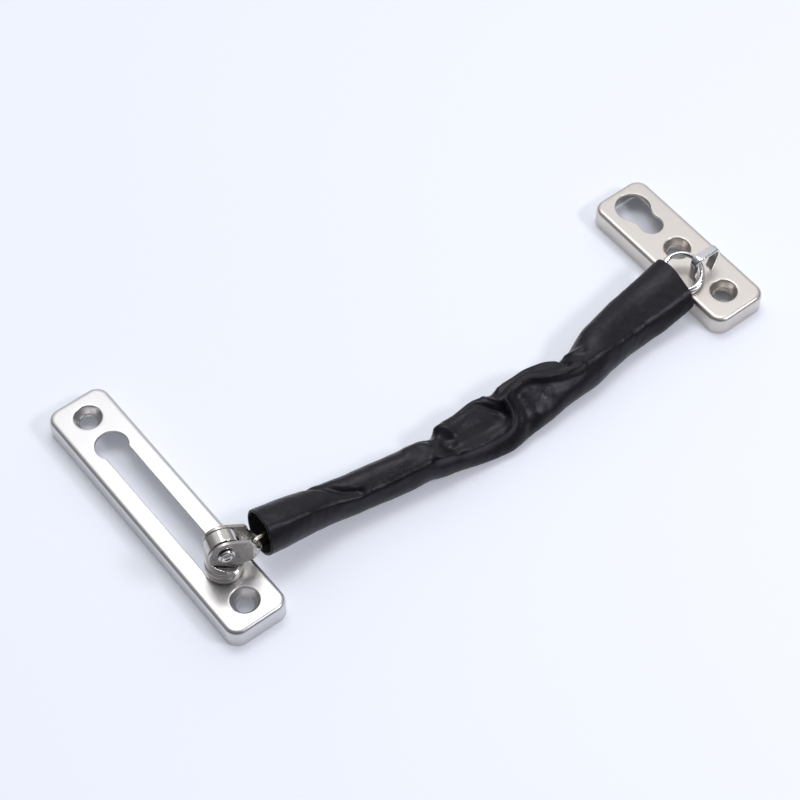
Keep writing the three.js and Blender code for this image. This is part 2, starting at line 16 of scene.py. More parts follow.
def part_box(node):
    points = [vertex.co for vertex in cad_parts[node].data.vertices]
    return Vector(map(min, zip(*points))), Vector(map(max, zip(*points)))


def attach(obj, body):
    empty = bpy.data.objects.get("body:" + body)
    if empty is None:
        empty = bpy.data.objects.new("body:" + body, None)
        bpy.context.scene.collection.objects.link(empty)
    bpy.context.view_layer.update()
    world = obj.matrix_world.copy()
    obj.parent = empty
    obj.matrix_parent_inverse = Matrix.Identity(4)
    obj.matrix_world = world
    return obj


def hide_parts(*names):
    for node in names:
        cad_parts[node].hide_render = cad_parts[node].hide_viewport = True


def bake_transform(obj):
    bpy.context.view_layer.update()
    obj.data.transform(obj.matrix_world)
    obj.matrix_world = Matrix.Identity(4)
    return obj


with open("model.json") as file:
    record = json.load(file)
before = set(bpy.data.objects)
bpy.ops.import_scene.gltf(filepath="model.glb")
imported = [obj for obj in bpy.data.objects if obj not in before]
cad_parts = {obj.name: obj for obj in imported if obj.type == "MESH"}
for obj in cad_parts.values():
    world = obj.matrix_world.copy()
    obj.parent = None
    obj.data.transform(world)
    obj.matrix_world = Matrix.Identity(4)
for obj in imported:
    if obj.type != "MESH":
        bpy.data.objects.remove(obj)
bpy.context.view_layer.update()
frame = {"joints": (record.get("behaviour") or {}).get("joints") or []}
MM = 0.001

# ---- the camera ------------------------------------------------------------------------------
CAMERA_PLACE = (-280.54, -353.42, 613.19)
CAMERA_AIM = (-11.04, -7.8, 0)
CAMERA_LENS = 108
CAMERA_SENSOR = 36

# ---- the light -------------------------------------------------------------------------------
KEY_PLACE = (0.17, 0.25, 0.96)
KEY_SIZE = (0.5, 0.4)
KEY_POWER = 2.5
FILL_PLACE = (0.42, -0.7, 0.76)
FILL_SIZE = (0.26, 0.16)
FILL_POWER = 3.3
TENT_BRIGHTEST = (0.36, 0.46, 0.81)
TENT_COLOUR = (0.93, 0.95, 1)
# brightness of the tent, by how directly a place on it faces along TENT_BRIGHTEST
TENT_LEVELS = ((-0.6, 0.05), (0, 0.12), (0.64, 0.37), (0.92, 0.88))
FLOOR_GLOW = 0.21  # the table is lit a little from below
FLOOR_REACH = 3000
# the share of the glow that is left inside the outline of each plate, where the plate lies at rest: painted
# shade under the plates
GLOW_LEFT_IN_PAINTED_SHADE = {"slot_plate": 0.7, "anchor_plate": 0.2}

# ---- the plates, from part.mjs ---------------------------------------------------------------
SHEET = 1.2
CORNER_RADIUS = 4.5
FOLD_RADIUS = 1.6
RIM_ROUND = 0.25
PUNCHED_ROUND = 0.22
SCREW_HOLE_RADIUS = 2.75
DIMPLE_RADIUS = 4.3
DIMPLE_DEPTH = 3
SCREW_HOLE_SPACING = 82.8
ENTRY_Y = 28.2
ENTRY_RADIUS = 5.3
SLOT_HALF_WIDTH = 4.1
SLOT_END_Y = -29.2
ANCHOR_SCREW_Y = (0.5, -21.8)
PARKING_Y = 22.3
PARKING_RADIUS = 5.85
PARKING_NECK_Y = 13.2
PARKING_NECK_RADIUS = 3.95
PARKING_FILLET = 5

# ---- the slider ------------------------------------------------------------------------------
HEAD_RADIUS = 5.8
HEAD_BODY_RADIUS = 5.5
NECK_RADIUS = 2.7
FLANGE_HEIGHT = 3.2
RIVET_ABOVE_BASE = 12
RIVET_HEAD_RADIUS = 2.6
BUTTON_FOOT_RADIUS = 5
BUTTON_FOOT_THICKNESS = 1.4
BUTTON_SHOULDER = 7.2  # the height where the neck steps down to the stud
STUD_RADIUS = 1.6
STUD_HEAD_RADIUS = 2.2
STUD_HEAD_THICKNESS = 0.6
KNUCKLE_RADIUS = 5.4
KNUCKLE_HALF_WIDTH = 2.2
POCKET_RADIUS = 5.6
YOKE_AZIMUTH = -14.5
YOKE_TILT = 26.5
YOKE_LOWEST_TILT = 30
EAR_RADIUS = 5.2
EAR_THICKNESS = 1
EAR_INSIDE = 2.5
YOKE_LENGTH = 12.5
YOKE_BEND_RADIUS = 2.2
BRIDGE_LOW = -2.1
BRIDGE_HIGH = 1.3
EAR_UNDERSIDE = ((6, -EAR_RADIUS), (9.3, -4), (10.8, -2.9), (11.5, BRIDGE_LOW))
EAR_TOP = ((11.5, BRIDGE_HIGH), (9.6, 2.2), (8, 4.2), (6.6, EAR_RADIUS))

# ---- the chain and the ring ------------------------------------------------------------------
LINK_COUNT = 11
LINK_PITCH = 15.32
LINK_WIRE_RADIUS = 0.65
LINK_BOW_RADIUS = 2.6
WIRE_OVER_PIVOT = 0.8
RING_TILT = 18
RING_RISE = 52
RING_OUTER_COIL = 6.75
RING_INNER_COIL = 6.35
RING_WIRE_RADIUS = 0.75

# ---- the eye, from the anchor plate's middle -------------------------------------------------
EYE_Y = -11.7
EYE_WIDTH = 3
EYE_STRIP = 1.2
EYE_TOP = 16.4
EYE_LEFT = -5
EYE_RIGHT = 5.6
EYE_RIGHT_FOOT = 3.6
EYE_BEND = 2.5

# ---- the sleeve ------------------------------------------------------------------------------
SLEEVE_WALL = 0.9
LINING_CLEAR = 0.85  # of the wall, from the outside of the leather all round
LINING_THINNED = 0.7
LINING_TRIES = 5
LIP_STEPS = 5
CHAIN_ROOM = 0.1  # between the chain and the leather over it
CHAIN_SOFTNESS = 0.15
SLEEVE_MOUTH = (3.85, 3.1, -2.4)  # the centre of its open end, from the bridge
SLEEVE_END = (89.5, -29.3, 10.6)  # past the cut end
SLEEVE_TRIM_X = 81.4  # where its cut end would meet the floor
SLEEVE_TRIM_LEAN = 5
SLEEVE_TRIM_RINGS = 40
SLEEVE_RINGS = 340
SLEEVE_SIDES = 120
# distance along the sleeve, how far the leather reaches to its upper side and to its lower side,
# its thickness in front of and behind that, and how far it leans from level, in degrees
SLEEVE_SECTIONS = (
    (0, 8.0, 6.9, 7.2, 7.0, 30),
    (9, 7.8, 6.3, 6.8, 6.5, 30),
    (20, 6.7, 6.1, 6.4, 6.0, 30),
    (30, 6.1, 6.3, 6.3, 6.0, 30),
    (40, 6.4, 6.3, 6.2, 6.0, 30),
    (50, 6.6, 6.1, 6.2, 6.0, 30),
    (57, 7.0, 5.8, 6.2, 6.0, 30),
    (62, 6.8, 6.7, 5.6, 5.6, 30),
    (66, 8.5, 7.0, 5.0, 5.2, 30),
    (73, 9.2, 8.2, 4.2, 4.6, 30),
    (80, 10.2, 9.2, 3.6, 4.0, 30),
    (84, 9.8, 9.5, 3.9, 3.8, 30),
    (87, 8.8, 9.2, 4.4, 4.0, 30),
    (90, 9.5, 8.8, 4.8, 4.2, 30),
    (96, 10.1, 8.2, 4.9, 4.4, 30),
    (102, 10.0, 7.7, 5.0, 4.6, 30),
    (106, 9.2, 7.3, 5.0, 4.8, 30),
    (110, 7.8, 7.3, 5.4, 5.2, 30),
    (114, 5.6, 7.5, 5.8, 5.6, 30),
    (118, 5.9, 7.7, 6.0, 5.6, 30),
    (127, 8.4, 7.4, 5.8, 5.2, 30),
    (134, 8.9, 7.6, 5.4, 5.0, 28),
    (141, 9.1, 8.4, 5.0, 4.8, 25),
    (148, 8.9, 9.4, 4.8, 4.6, 21),
    (155, 8.6, 10.2, 4.7, 4.4, 17),
    (163, 8.4, 10.8, 4.7, 4.4, 14),
    (168, 8.4, 11.0, 4.7, 4.4, 14),
    (180, 8.4, 11.0, 4.7, 4.4, 14),
)
# folds of the leather: how far it stands out, how wide it is, and the line that it follows, as
# distance along the sleeve and degrees round it from its upper side, past the front
FOLDS = (
    # the long ridge, which turns up and over at the kink
    (0.4, 1.8, ((-2, 78), (10, 87), (26, 102), (35, 109), (47, 101), (56, 94), (61, 94))),
    (1.6, 1.3, ((60, 93), (63, 99), (67, 106), (74, 109), (81, 108), (85, 106), (87.5, 98), (88.5, 80),
                (88.5, 56))),
    (1.3, 1.2, ((88.5, 62), (90.5, 50), (94, 44), (98, 43), (101, 50), (105, 64), (110, 74), (116, 80))),
    (0.5, 1.8, ((114, 78), (122, 86), (129, 98), (136, 110), (145, 116), (157, 126), (168, 130))),
    # the dark hollow behind the kink
    (-0.7, 2.6, ((93, 70), (93.6, 90), (93.2, 112), (92.5, 132))),
    (-0.8, 3.2, ((95, 72), (99, 86), (101, 102))),
    # the flat between the ridge and the upper side
    (-0.9, 3.2, ((67, 66), (74, 72), (83, 74))),
    (-0.5, 0.8, ((80, 26), (84, 52), (86.5, 80))),
    (-0.4, 0.7, ((75, 22), (81, 44), (85.5, 66))),
    (0.5, 0.7, ((84, 14), (86, 34), (87.5, 52))),
    # the crumple before the flat
    (-1.0, 2.1, ((61.5, -25), (62.5, 10), (64.5, 52), (65.5, 78), (66.5, 96))),
    (0.5, 1.2, ((65, 4), (67.5, 34), (69, 60))),
    (0.5, 1.6, ((53, 30), (58, 33), (61, 40))),
    (-0.6, 1.0, ((56, 4), (59, 22), (61.5, 50))),
    # the shallow fold beside the mouth, and the swelling above it
    (-0.9, 1.3, ((18, -12), (20, 13), (25, 58), (29, 84), (33, 94))),
    (0.5, 3.0, ((28, 36), (41, 40), (52, 42))),
    # the rim of the arch before the pinch, and the pinch on the upper side
    (0.7, 1.1, ((90, 16), (95, 20), (101, 22), (107, 24), (111, 34))),
    (-1.1, 1.1, ((112, -30), (112.5, 4), (113, 28), (113.5, 52))),
    (0.6, 1.2, ((116, 10), (118, 30), (121, 48))),
    # behind and below
    (-1.1, 1.6, ((64, 200), (67, 232), (65, 268), (62, 300))),
    (-1.0, 1.8, ((92, 206), (92, 226), (90, 256), (93, 300))),
    (-0.8, 1.5, ((114, 206), (116, 226), (113, 270), (113, 318))),
    (0.6, 2.0, ((70, 250), (80, 244), (88, 236))),
    (0.5, 2.2, ((96, 292), (104, 300), (110, 312))),
    (-0.5, 1.5, ((36, 214), (41, 240), (46, 276))),
)
WRINKLES = ((0.16, 5.5), (0.07, 2.0))  # depth and size of the small unevenness

# ---- small helpers ---------------------------------------------------------------------------
def polar(radius, degrees):
    return np.array([radius * math.cos(math.radians(degrees)), radius * math.sin(math.radians(degrees))])


def unit(vector):
    vector = np.asarray(vector, float)
    return vector / np.linalg.norm(vector)


def joint_place(name):
    """Where a joint turns, in millimetres."""
    return np.array(next(j for j in frame["joints"] if j["name"] == name)["pos_m"]) / MM


def node_box(node):
    """The lowest and highest corner of a CAD node, in millimetres."""
    low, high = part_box(node)
    return np.array(low) / MM, np.array(high) / MM


def middle_of(node):
    low, high = node_box(node)
    return (low + high) / 2


def smooth_shaded(mesh):
    mesh.polygons.foreach_set("use_smooth", [True] * len(mesh.polygons))


def piece(name, points, faces, material):
    """A mesh object from points in millimetres."""
    mesh = bpy.data.meshes.new(name)
    mesh.from_pydata([tuple(p) for p in np.asarray(points, float) * MM], [], faces)
    mesh.validate()
    mesh.update()
    smooth_shaded(mesh)
    made = bpy.data.objects.new(name, mesh)
    bpy.context.collection.objects.link(made)
    made.data.materials.append(material)
    return made


class Shape:
    """Points, in millimetres, and the faces between them."""

    def __init__(self):
        self.points = []
        self.faces = []

    def ring(self, points):
        start = len(self.points)
        self.points.extend(np.asarray(points, float))
        return list(range(start, len(self.points)))

    def strip(self, a, b, closed=True):
        """Quads between two rings of the same number of points."""
        count = len(a)
        for i in range(count if closed else count - 1):
            j = (i + 1) % count
            self.faces.append((a[i], a[j], b[j], b[i]))

    def strips(self, rings):
        for a, b in zip(rings, rings[1:]):
            self.strip(a, b)

    def cap(self, ring, flip=False):
        self.faces.append(tuple(reversed(ring)) if flip else tuple(ring))

    def fill(self, rings, facing_up):
        """Triangles between an outer ring and the rings of its holes, which all lie in one level."""
        index = [i for ring in rings for i in ring]
        flat = [Vector(self.points[i][:2]) for i in index]
        edges, start = [], 0
        for ring in rings:
            count = len(ring)
            edges += [(start + i, start + (i + 1) % count) for i in range(count)]
            start += count
        holes = [np.array([self.points[i][:2] for i in ring]) for ring in rings[1:]]
        _, _, triangles, origin, _, _ = delaunay_2d_cdt(flat, edges, [], 1, 1e-6)
        for triangle in triangles:
            corners = [index[origin[v][0]] for v in triangle]
            centre = sum(self.points[c][:2] for c in corners) / 3
            if any(inside(centre, hole) for hole in holes):
                continue
            self.faces.append(tuple(corners if facing_up else reversed(corners)))

    def made(self, name, place, material, slot):
        return piece(name, np.array(self.points) + np.asarray(place, float), self.faces, material)


def inside(point, outline):
    x, y = point
    x0, y0 = outline[:, 0], outline[:, 1]
    x1, y1 = np.roll(x0, -1), np.roll(y0, -1)
    crosses = (y0 > y) != (y1 > y)
    at = x0 + (y - y0) * (x1 - x0) / np.where(y1 == y0, 1e-12, y1 - y0)
    return bool(np.count_nonzero(crosses & (x < at)) % 2)


def rounded_profile(points, radius, steps=4):
    """An open line of [radius, height] points with its inner corners rounded."""
    points = [np.array(p, float) for p in points]
    made = [points[0]]
    for before, corner, after in zip(points, points[1:], points[2:]):
        to_before, to_after = before - corner, after - corner
        reach = min(radius, 0.45 * np.linalg.norm(to_before), 0.45 * np.linalg.norm(to_after))
        a, b = corner + unit(to_before) * reach, corner + unit(to_after) * reach
        for i in range(steps + 1):
            t = i / steps
            made.append((1 - t) ** 2 * a + 2 * t * (1 - t) * corner + t * t * b)
    return made + [points[-1]]


def turned(shape, profile, place=(0, 0, 0), segments=72):
    """A body turned about Z from [radius, height] points, which start and end on the axis or meet."""
    closed = np.allclose(profile[0], profile[-1])
    rings = []
    for radius, height in profile[:-1] if closed else profile:
        if radius < 1e-6:
            rings.append(shape.ring([np.array([0, 0, height]) + place]))
            continue
        circle = [polar(radius, 360 * i / segments) for i in range(segments)]
        rings.append(shape.ring([np.array([x, y, height]) + place for x, y in circle]))
    if closed:
        rings.append(rings[0])
    for a, b in zip(rings, rings[1:]):
        if len(a) == 1:
            shape.faces += [(a[0], b[(i + 1) % segments], b[i]) for i in range(segments)]
        elif len(b) == 1:
            shape.faces += [(a[i], a[(i + 1) % segments], b[0]) for i in range(segments)]
        else:
            shape.strip(a, b)
    return shape


# ---- materials -------------------------------------------------------------------------------
def node_material(name, colour, roughness, metallic):
    """A Principled material, with its nodes, links and object coordinates."""
    material = bpy.data.materials.new(name)
    material.use_nodes = True
    nodes, links = material.node_tree.nodes, material.node_tree.links
    shader = nodes["Principled BSDF"]
    shader.inputs["Base Color"].default_value = (*colour, 1)
    shader.inputs["Roughness"].default_value = roughness
    shader.inputs["Metallic"].default_value = metallic
    coordinates = nodes.new("ShaderNodeTexCoord").outputs["Object"]
    return material, nodes, links, shader, coordinates


def scaled(nodes, links, coordinates, scale):
    mapping = nodes.new("ShaderNodeMapping")
    mapping.inputs["Scale"].default_value = scale
    links.new(coordinates, mapping.inputs["Vector"])
    return mapping.outputs["Vector"]


def noise_texture(nodes, links, vector, scale, detail=2.0, roughness=0.5):
    texture = nodes.new("ShaderNodeTexNoise")
    texture.inputs["Scale"].default_value = scale
    texture.inputs["Detail"].default_value = detail
    texture.inputs["Roughness"].default_value = roughness
    links.new(vector, texture.inputs["Vector"])
    return texture.outputs["Fac"]


def between(nodes, links, factor, low, high, start=0.3, end=0.7):
    """A value that goes from low to high as the factor goes from start to end."""
    spread = nodes.new("ShaderNodeMapRange")
    spread.inputs["From Min"].default_value = start
    spread.inputs["From Max"].default_value = end
    spread.inputs["To Min"].default_value = low
    spread.inputs["To Max"].default_value = high
    links.new(factor, spread.inputs["Value"])
    return spread.outputs["Result"]


def two_colours(nodes, links, factor, first, second):
    ramp = nodes.new("ShaderNodeValToRGB")
    ramp.color_ramp.elements[0].position = 0.3
    ramp.color_ramp.elements[1].position = 0.7
    ramp.color_ramp.elements[0].color = (*first, 1)
    ramp.color_ramp.elements[1].color = (*second, 1)
    links.new(factor, ramp.inputs["Fac"])
    return ramp.outputs["Color"]


def add_bump(nodes, links, shader, heights):
    """Bumps in a row, each from (height, depth in metres)."""
    before = None
    for height, depth in heights:
        bump = nodes.new("ShaderNodeBump")
        bump.inputs["Strength"].default_value = 1
        bump.inputs["Distance"].default_value = depth
        links.new(height, bump.inputs["Height"])
        if before is not None:
            links.new(before, bump.inputs["Normal"])
        before = bump.outputs["Normal"]
    links.new(before, shader.inputs["Normal"])


def satin_steel(name, colour, shade):
    """Drawn sheet with a fine satin finish: faint lines along its walls, and a few soft blotches."""
    material, nodes, links, shader, at = node_material(name, colour, 0.3, 1)
    lines = noise_texture(nodes, links, scaled(nodes, links, at, (90, 14, 2600)), 1, 3, 0.6)
    grain = noise_texture(nodes, links, scaled(nodes, links, at, (900, 260, 900)), 4, 3, 0.6)
    clouds = noise_texture(nodes, links, at, 70, 3)
    links.new(between(nodes, links, clouds, 0.3, 0.4), shader.inputs["Roughness"])
    links.new(two_colours(nodes, links, clouds, colour, shade), shader.inputs["Base Color"])
    add_bump(nodes, links, shader, ((lines, 5e-6), (grain, 1.5e-6)))
    return material


def nickel_plate(name, colour, shade, roughness):
    """Bright plating over a polished casting, with a slight orange peel and dull patches."""
    material, nodes, links, shader, at = node_material(name, colour, roughness, 1)
    clouds = noise_texture(nodes, links, at, 260, 3)
    peel = noise_texture(nodes, links, at, 900, 2)
    links.new(between(nodes, links, clouds, 0.6 * roughness, 1.6 * roughness), shader.inputs["Roughness"])
    links.new(two_colours(nodes, links, clouds, colour, shade), shader.inputs["Base Color"])
    add_bump(nodes, links, shader, ((peel, 6e-6),))
    return material


def black_leather():
    """Thin black coated leather: a fine pebbled grain and a semi-gloss finish, its reflections given a
    painted violet tint that stands in for the bluish light round it.
    """
    colour, shade = (0.0045, 0.004, 0.0055), (0.008, 0.0073, 0.0105)
    material, nodes, links, shader, at = node_material("black_leather", colour, 0.36, 0)
    warp = noise_texture(nodes, links, at, 900, 2)
    warped = nodes.new("ShaderNodeVectorMath")
    warped.operation = "MULTIPLY_ADD"
    warped.inputs[1].default_value = (0.0005, 0.0005, 0.0005)
    links.new(warp, warped.inputs[0])
    links.new(at, warped.inputs[2])
    cells = nodes.new("ShaderNodeTexVoronoi")
    cells.inputs["Scale"].default_value = 3400
    links.new(warped.outputs[0], cells.inputs["Vector"])
    creases = noise_texture(nodes, links, at, 1300, 4, 0.6)
    clouds = noise_texture(nodes, links, at, 150, 3)
    links.new(between(nodes, links, clouds, 0.26, 0.36), shader.inputs["Roughness"])
    links.new(two_colours(nodes, links, creases, colour, shade), shader.inputs["Base Color"])
    shader.inputs["Specular IOR Level"].default_value = 0.3
    # painted reflection colour: the violet tint stands in for the bluish light of the tent
    shader.inputs["Specular Tint"].default_value = (0.92, 0.9, 1, 1)
    add_bump(nodes, links, shader, ((cells.outputs["Distance"], -3.5e-5), (creases, 3.0e-5)))
    return material


def leather_inside():
    """The sleeve's unfinished cloth backing, dark and matt."""
    material, nodes, links, shader, at = node_material("leather_backing", (0.012, 0.011, 0.012), 0.9, 0)
    fibres = noise_texture(nodes, links, at, 1400, 3)
    colour = two_colours(nodes, links, fibres, (0.009, 0.008, 0.009), (0.02, 0.019, 0.02))
    links.new(colour, shader.inputs["Base Color"])
    add_bump(nodes, links, shader, ((fibres, 1e-4),))
    return material


PLATE_STEEL = satin_steel("plate_steel", (0.68, 0.67, 0.67), (0.62, 0.61, 0.61))
ANCHOR_STEEL = satin_steel("anchor_steel", (0.70, 0.655, 0.615), (0.64, 0.595, 0.555))
SLIDER_NICKEL = nickel_plate("slider_nickel", (0.66, 0.635, 0.605), (0.57, 0.545, 0.515), 0.14)
YOKE_NICKEL = nickel_plate("yoke_nickel", (0.56, 0.54, 0.52), (0.46, 0.44, 0.42), 0.24)
CHAIN_NICKEL = nickel_plate("chain_nickel", (0.74, 0.70, 0.60), (0.66, 0.61, 0.50), 0.16)
WIRE_STEEL = nickel_plate("wire_steel", (0.74, 0.74, 0.75), (0.66, 0.66, 0.67), 0.12)
LEATHER = black_leather()
LEATHER_BACK = leather_inside()


# ---- the plates ------------------------------------------------------------------------------
def rounded_rectangle(half_width, half_length, radius, corner_steps=10, side_steps=6):
    """An outline round the origin, anticlockwise."""
    x, y = half_width - radius, half_length - radius
    corners = ((x, y, 0), (-x, y, 90), (-x, -y, 180), (x, -y, 270))
    outline = []
    for cx, cy, start in corners:
        for i in range(corner_steps + 1):
            outline.append(np.array([cx, cy]) + polar(radius, start + 90 * i / corner_steps))
    dense = []
    for i, point in enumerate(outline):
        after = outline[(i + 1) % len(outline)]
        dense.append(point)
        if (i + 1) % (corner_steps + 1) == 0:
            dense += [point + (after - point) * k / side_steps for k in range(1, side_steps)]
    return np.array(dense)


def circle(y, radius, steps=64):
    return np.array([polar(radius, 360 * i / steps) + (0, y) for i in range(steps)])


def slot_outline(grown):
    """The slider's slot with its round entry hole, grown by a little, anticlockwise."""
    half, entry = SLOT_HALF_WIDTH + grown, ENTRY_RADIUS + grown
    join = math.degrees(math.asin(half / entry))
    end = [polar(half, 180 + 180 * i / 24) + (0, SLOT_END_Y) for i in range(25)]
    right = [np.array([half, SLOT_END_Y + (ENTRY_Y - 4 - SLOT_END_Y) * i / 8]) for i in range(1, 8)]
    hole = [polar(entry, -90 + join + (360 - 2 * join) * i / 40) + (0, ENTRY_Y) for i in range(41)]
    left = [np.array([-x, y]) for x, y in reversed(right)]
    return np.array(end + right + hole + left)


def parking_outline(grown):
    """The keyhole that the slider is parked in: two round holes that run into each other."""
    big, small, fillet = PARKING_RADIUS + grown, PARKING_NECK_RADIUS + grown, PARKING_FILLET - grown
    apart = PARKING_Y - PARKING_NECK_Y
    down = ((big + fillet) ** 2 + apart**2 - (small + fillet) ** 2) / (2 * apart)
    out = math.sqrt((big + fillet) ** 2 - down**2)
    middle = np.array([out, PARKING_Y - down])
    at_big = -math.degrees(math.atan2(down, out))
    at_small = math.degrees(math.atan2(apart - down, out))
    top = [polar(big, at_big + (180 - 2 * at_big) * i / 40) + (0, PARKING_Y) for i in range(41)]
    start = 180 + at_big
    finish = 180 + at_small
    neck_right = [polar(fillet, start + (finish - start) * i / 10) + middle for i in range(1, 10)]
    bottom = [
        polar(small, 180 - at_small + (180 + 2 * at_small) * i / 24) + (0, PARKING_NECK_Y) for i in range(25)
    ]
    neck_left = [np.array([-x, y]) for x, y in neck_right]
    return np.array(top + neck_left + bottom + neck_right[::-1])


def level_ring(shape, outline, height):
    return shape.ring([(x, y, height) for x, y in outline])


def punched_hole(shape, outline, top):
    """A hole's wall through the sheet. Gives the ring in the upper face and the one in the lower."""
    rings = [level_ring(shape, outline(PUNCHED_ROUND + 0.25), top)]
    for i in range(5):
        angle = math.radians(90 - 90 * i / 4)
        grown = PUNCHED_ROUND * (1 - math.cos(angle))
        rings.append(level_ring(shape, outline(grown), top - PUNCHED_ROUND * (1 - math.sin(angle))))
    low = top - SHEET
    rings.append(level_ring(shape, outline(0), low + 0.1))
    rings.append(level_ring(shape, outline(0.1), low))
    rings.append(level_ring(shape, outline(0.3), low))
    shape.strips(rings)
    return rings[0], rings[-1]


def dimple_profile(top, soft):
    """A sunk screw hole, from the upper face down through the hole and back up under the sheet."""
    floor = top - DIMPLE_DEPTH
    inner = [
        (DIMPLE_RADIUS + 1.1, top),
        (DIMPLE_RADIUS + 0.15, top),
        (SCREW_HOLE_RADIUS + 0.55, floor + 0.55),
        (SCREW_HOLE_RADIUS, floor),
        (SCREW_HOLE_RADIUS, floor - 0.9),
        (SCREW_HOLE_RADIUS + 0.8, floor - 0.9),
        (DIMPLE_RADIUS + 0.7, top - SHEET),
        (DIMPLE_RADIUS + 1.6, top - SHEET),
    ]
    return rounded_profile(inner, soft, 6)


def drawn_plate(name, node, length, holes, screw_rows, soft, material, slot):
    """A plate drawn from sheet: a flat face, a rounded fold, and walls down to an open back."""
    low, high = node_box(node)
    place = ((low[0] + high[0]) / 2, (low[1] + high[1]) / 2, 0)
    top, half = high[2], (high[0] - low[0]) / 2
    shape = Shape()

    def outline_ring(inset, height):
        radius = max(CORNER_RADIUS - inset, 0.6)
        return level_ring(shape, rounded_rectangle(half - inset, length / 2 - inset, radius), height)

    outside = [outline_ring(FOLD_RADIUS + 0.35, top)]
    for i in range(9):
        angle = math.radians(90 - 90 * i / 8)
        inset = FOLD_RADIUS * (1 - math.cos(angle))
        outside.append(outline_ring(inset, top - FOLD_RADIUS * (1 - math.sin(angle))))
    outside.append(outline_ring(0, 2.4))
    outside.append(outline_ring(0, RIM_ROUND))
    outside.append(outline_ring(0.3 * RIM_ROUND, 0.3 * RIM_ROUND))
    outside.append(outline_ring(RIM_ROUND, 0))
    outside.append(outline_ring(SHEET - RIM_ROUND, 0))
    outside.append(outline_ring(SHEET, RIM_ROUND))
    outside.append(outline_ring(SHEET, top - FOLD_RADIUS))
    outside.append(outline_ring(SHEET + 0.15, top - SHEET - 0.12))
    outside.append(outline_ring(SHEET + 0.6, top - SHEET))
    for a, b in zip(outside, outside[1:]):
        shape.strip(b, a)

    upper, lower = [outside[0]], [outside[-1]]
    for outline in holes:
        above, below = punched_hole(shape, outline, top)
        upper.append(above)
        lower.append(below)
    for y in screw_rows:
        rings = []
        for radius, height in dimple_profile(top, soft):
            rings.append(level_ring(shape, circle(y, radius), height))
        shape.strips(rings)
        upper.append(rings[0])
        lower.append(rings[-1])
    shape.fill(upper, True)
    shape.fill(lower, False)
    made = shape.made(name, place, material, slot)
    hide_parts(node)
    return made


def slot_plate():
    screws = [side * SCREW_HOLE_SPACING / 2 for side in (-1, 1)]
    low, high = node_box("slot_plate")
    made = drawn_plate("slot_plate_shell", "slot_plate", high[1] - low[1], [slot_outline], screws, 0.5,
                       PLATE_STEEL, "plate_steel")
    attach(made, "slot_plate")


def anchor_plate():
    low, high = node_box("anchor_plate")
    made = drawn_plate("anchor_plate_shell", "anchor_plate", high[1] - low[1], [parking_outline],
                       ANCHOR_SCREW_Y, 0.9, ANCHOR_STEEL, "anchor_steel")
    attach(made, "anchor")


def swept(shape, path, section, sideways):
    """A section carried along a flat path. sideways is square to the path all along."""
    path = [np.asarray(p, float) for p in path]
    rings = []
    for i, point in enumerate(path):
        along = unit(path[min(i + 1, len(path) - 1)] - path[max(i - 1, 0)])
        out = np.cross(sideways, along)
        rings.append(shape.ring([point + out * a + sideways * b for a, b in section]))
    shape.strips(rings)
    shape.cap(rings[0], flip=True)
    shape.cap(rings[-1])
    return shape


def arc(centre_x, centre_z, radius, start, end, steps=10):
    made = []
    for i in range(steps + 1):
        x, z = polar(radius, start + (end - start) * i / steps)
        made.append((centre_x + x, 0, centre_z + z))
    return made


def anchor_eye():
    """A strip bent to a staple. Its legs go through the sheet and are clenched under it."""
    low, high = node_box("anchor_plate")
    place = ((low[0] + high[0]) / 2, (low[1] + high[1]) / 2 + EYE_Y, 0)
    half = EYE_STRIP / 2
    under = high[2] - SHEET - 0.9
    bend = EYE_BEND - half
    left, right = EYE_LEFT + EYE_BEND, EYE_RIGHT - EYE_BEND
    height = EYE_TOP - EYE_BEND
    lean = math.degrees(math.atan2(EYE_RIGHT - EYE_RIGHT_FOOT, height - high[2]))
    foot = EYE_RIGHT_FOOT - half
    path = [(EYE_LEFT - 2.3, 0, under), (EYE_LEFT - 0.2, 0, under)]
    path += arc(EYE_LEFT - 0.2, under + 0.8, 0.8, 270, 360, 5)
    path += arc(left, height, bend, 180, 90)
    path += arc(right, height, bend, 90, -lean)
    path += [(foot, 0, high[2] + 0.3)]
    path += arc(foot + 0.8, under + 0.8, 0.8, 180, 270, 5)
    path += [(EYE_RIGHT_FOOT + 2.3, 0, under)]
    corners = rounded_rectangle(half, EYE_WIDTH / 2, 0.55, 6, 2)
    shape = swept(Shape(), path, corners, np.array([0, 1, 0]))
    made = shape.made("eye_strip", place, WIRE_STEEL, "wire_steel")
    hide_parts("anchor_eye")
    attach(made, "anchor")


# ---- the slider ------------------------------------------------------------------------------
def cut(target, tools, operation):
    """Joins or cuts with Blender's exact booleans, and keeps the result."""
    for tool in tools:
        change = target.modifiers.new("cut", "BOOLEAN")
        change.operation = operation
        change.solver = "EXACT"
        change.object = tool
        apply_modifiers(target)
        bpy.data.objects.remove(tool, do_unlink=True)
    return target


def apply_modifiers(target):
    bpy.context.view_layer.update()
    evaluated = target.evaluated_get(bpy.context.evaluated_depsgraph_get())
    mesh = bpy.data.meshes.new_from_object(evaluated)
    target.modifiers.clear()
    old = target.data
    target.data = mesh
    bpy.data.meshes.remove(old)


def softened(target, voxel, rounds):
    """Remeshes a cut body finely and smooths it, which rounds its edges as plating does."""
    remesh = target.modifiers.new("remesh", "REMESH")
    remesh.mode = "VOXEL"
    remesh.voxel_size = voxel * MM
    smooth = target.modifiers.new("smooth", "SMOOTH")
    smooth.factor = 0.5
    smooth.iterations = rounds
    apply_modifiers(target)
    smooth_shaded(target.data)
    return target


def extruded(name, outline, low, high, material, slot):
    """An outline in X and Z, given depth along Y."""
    shape = Shape()
    near = shape.ring([(x, low, z) for x, z in outline])
    far = shape.ring([(x, high, z) for x, z in outline])
    shape.strip(far, near)
    shape.cap(near)
    shape.cap(far, flip=True)
    return shape.made(name, (0, 0, 0), material, slot)


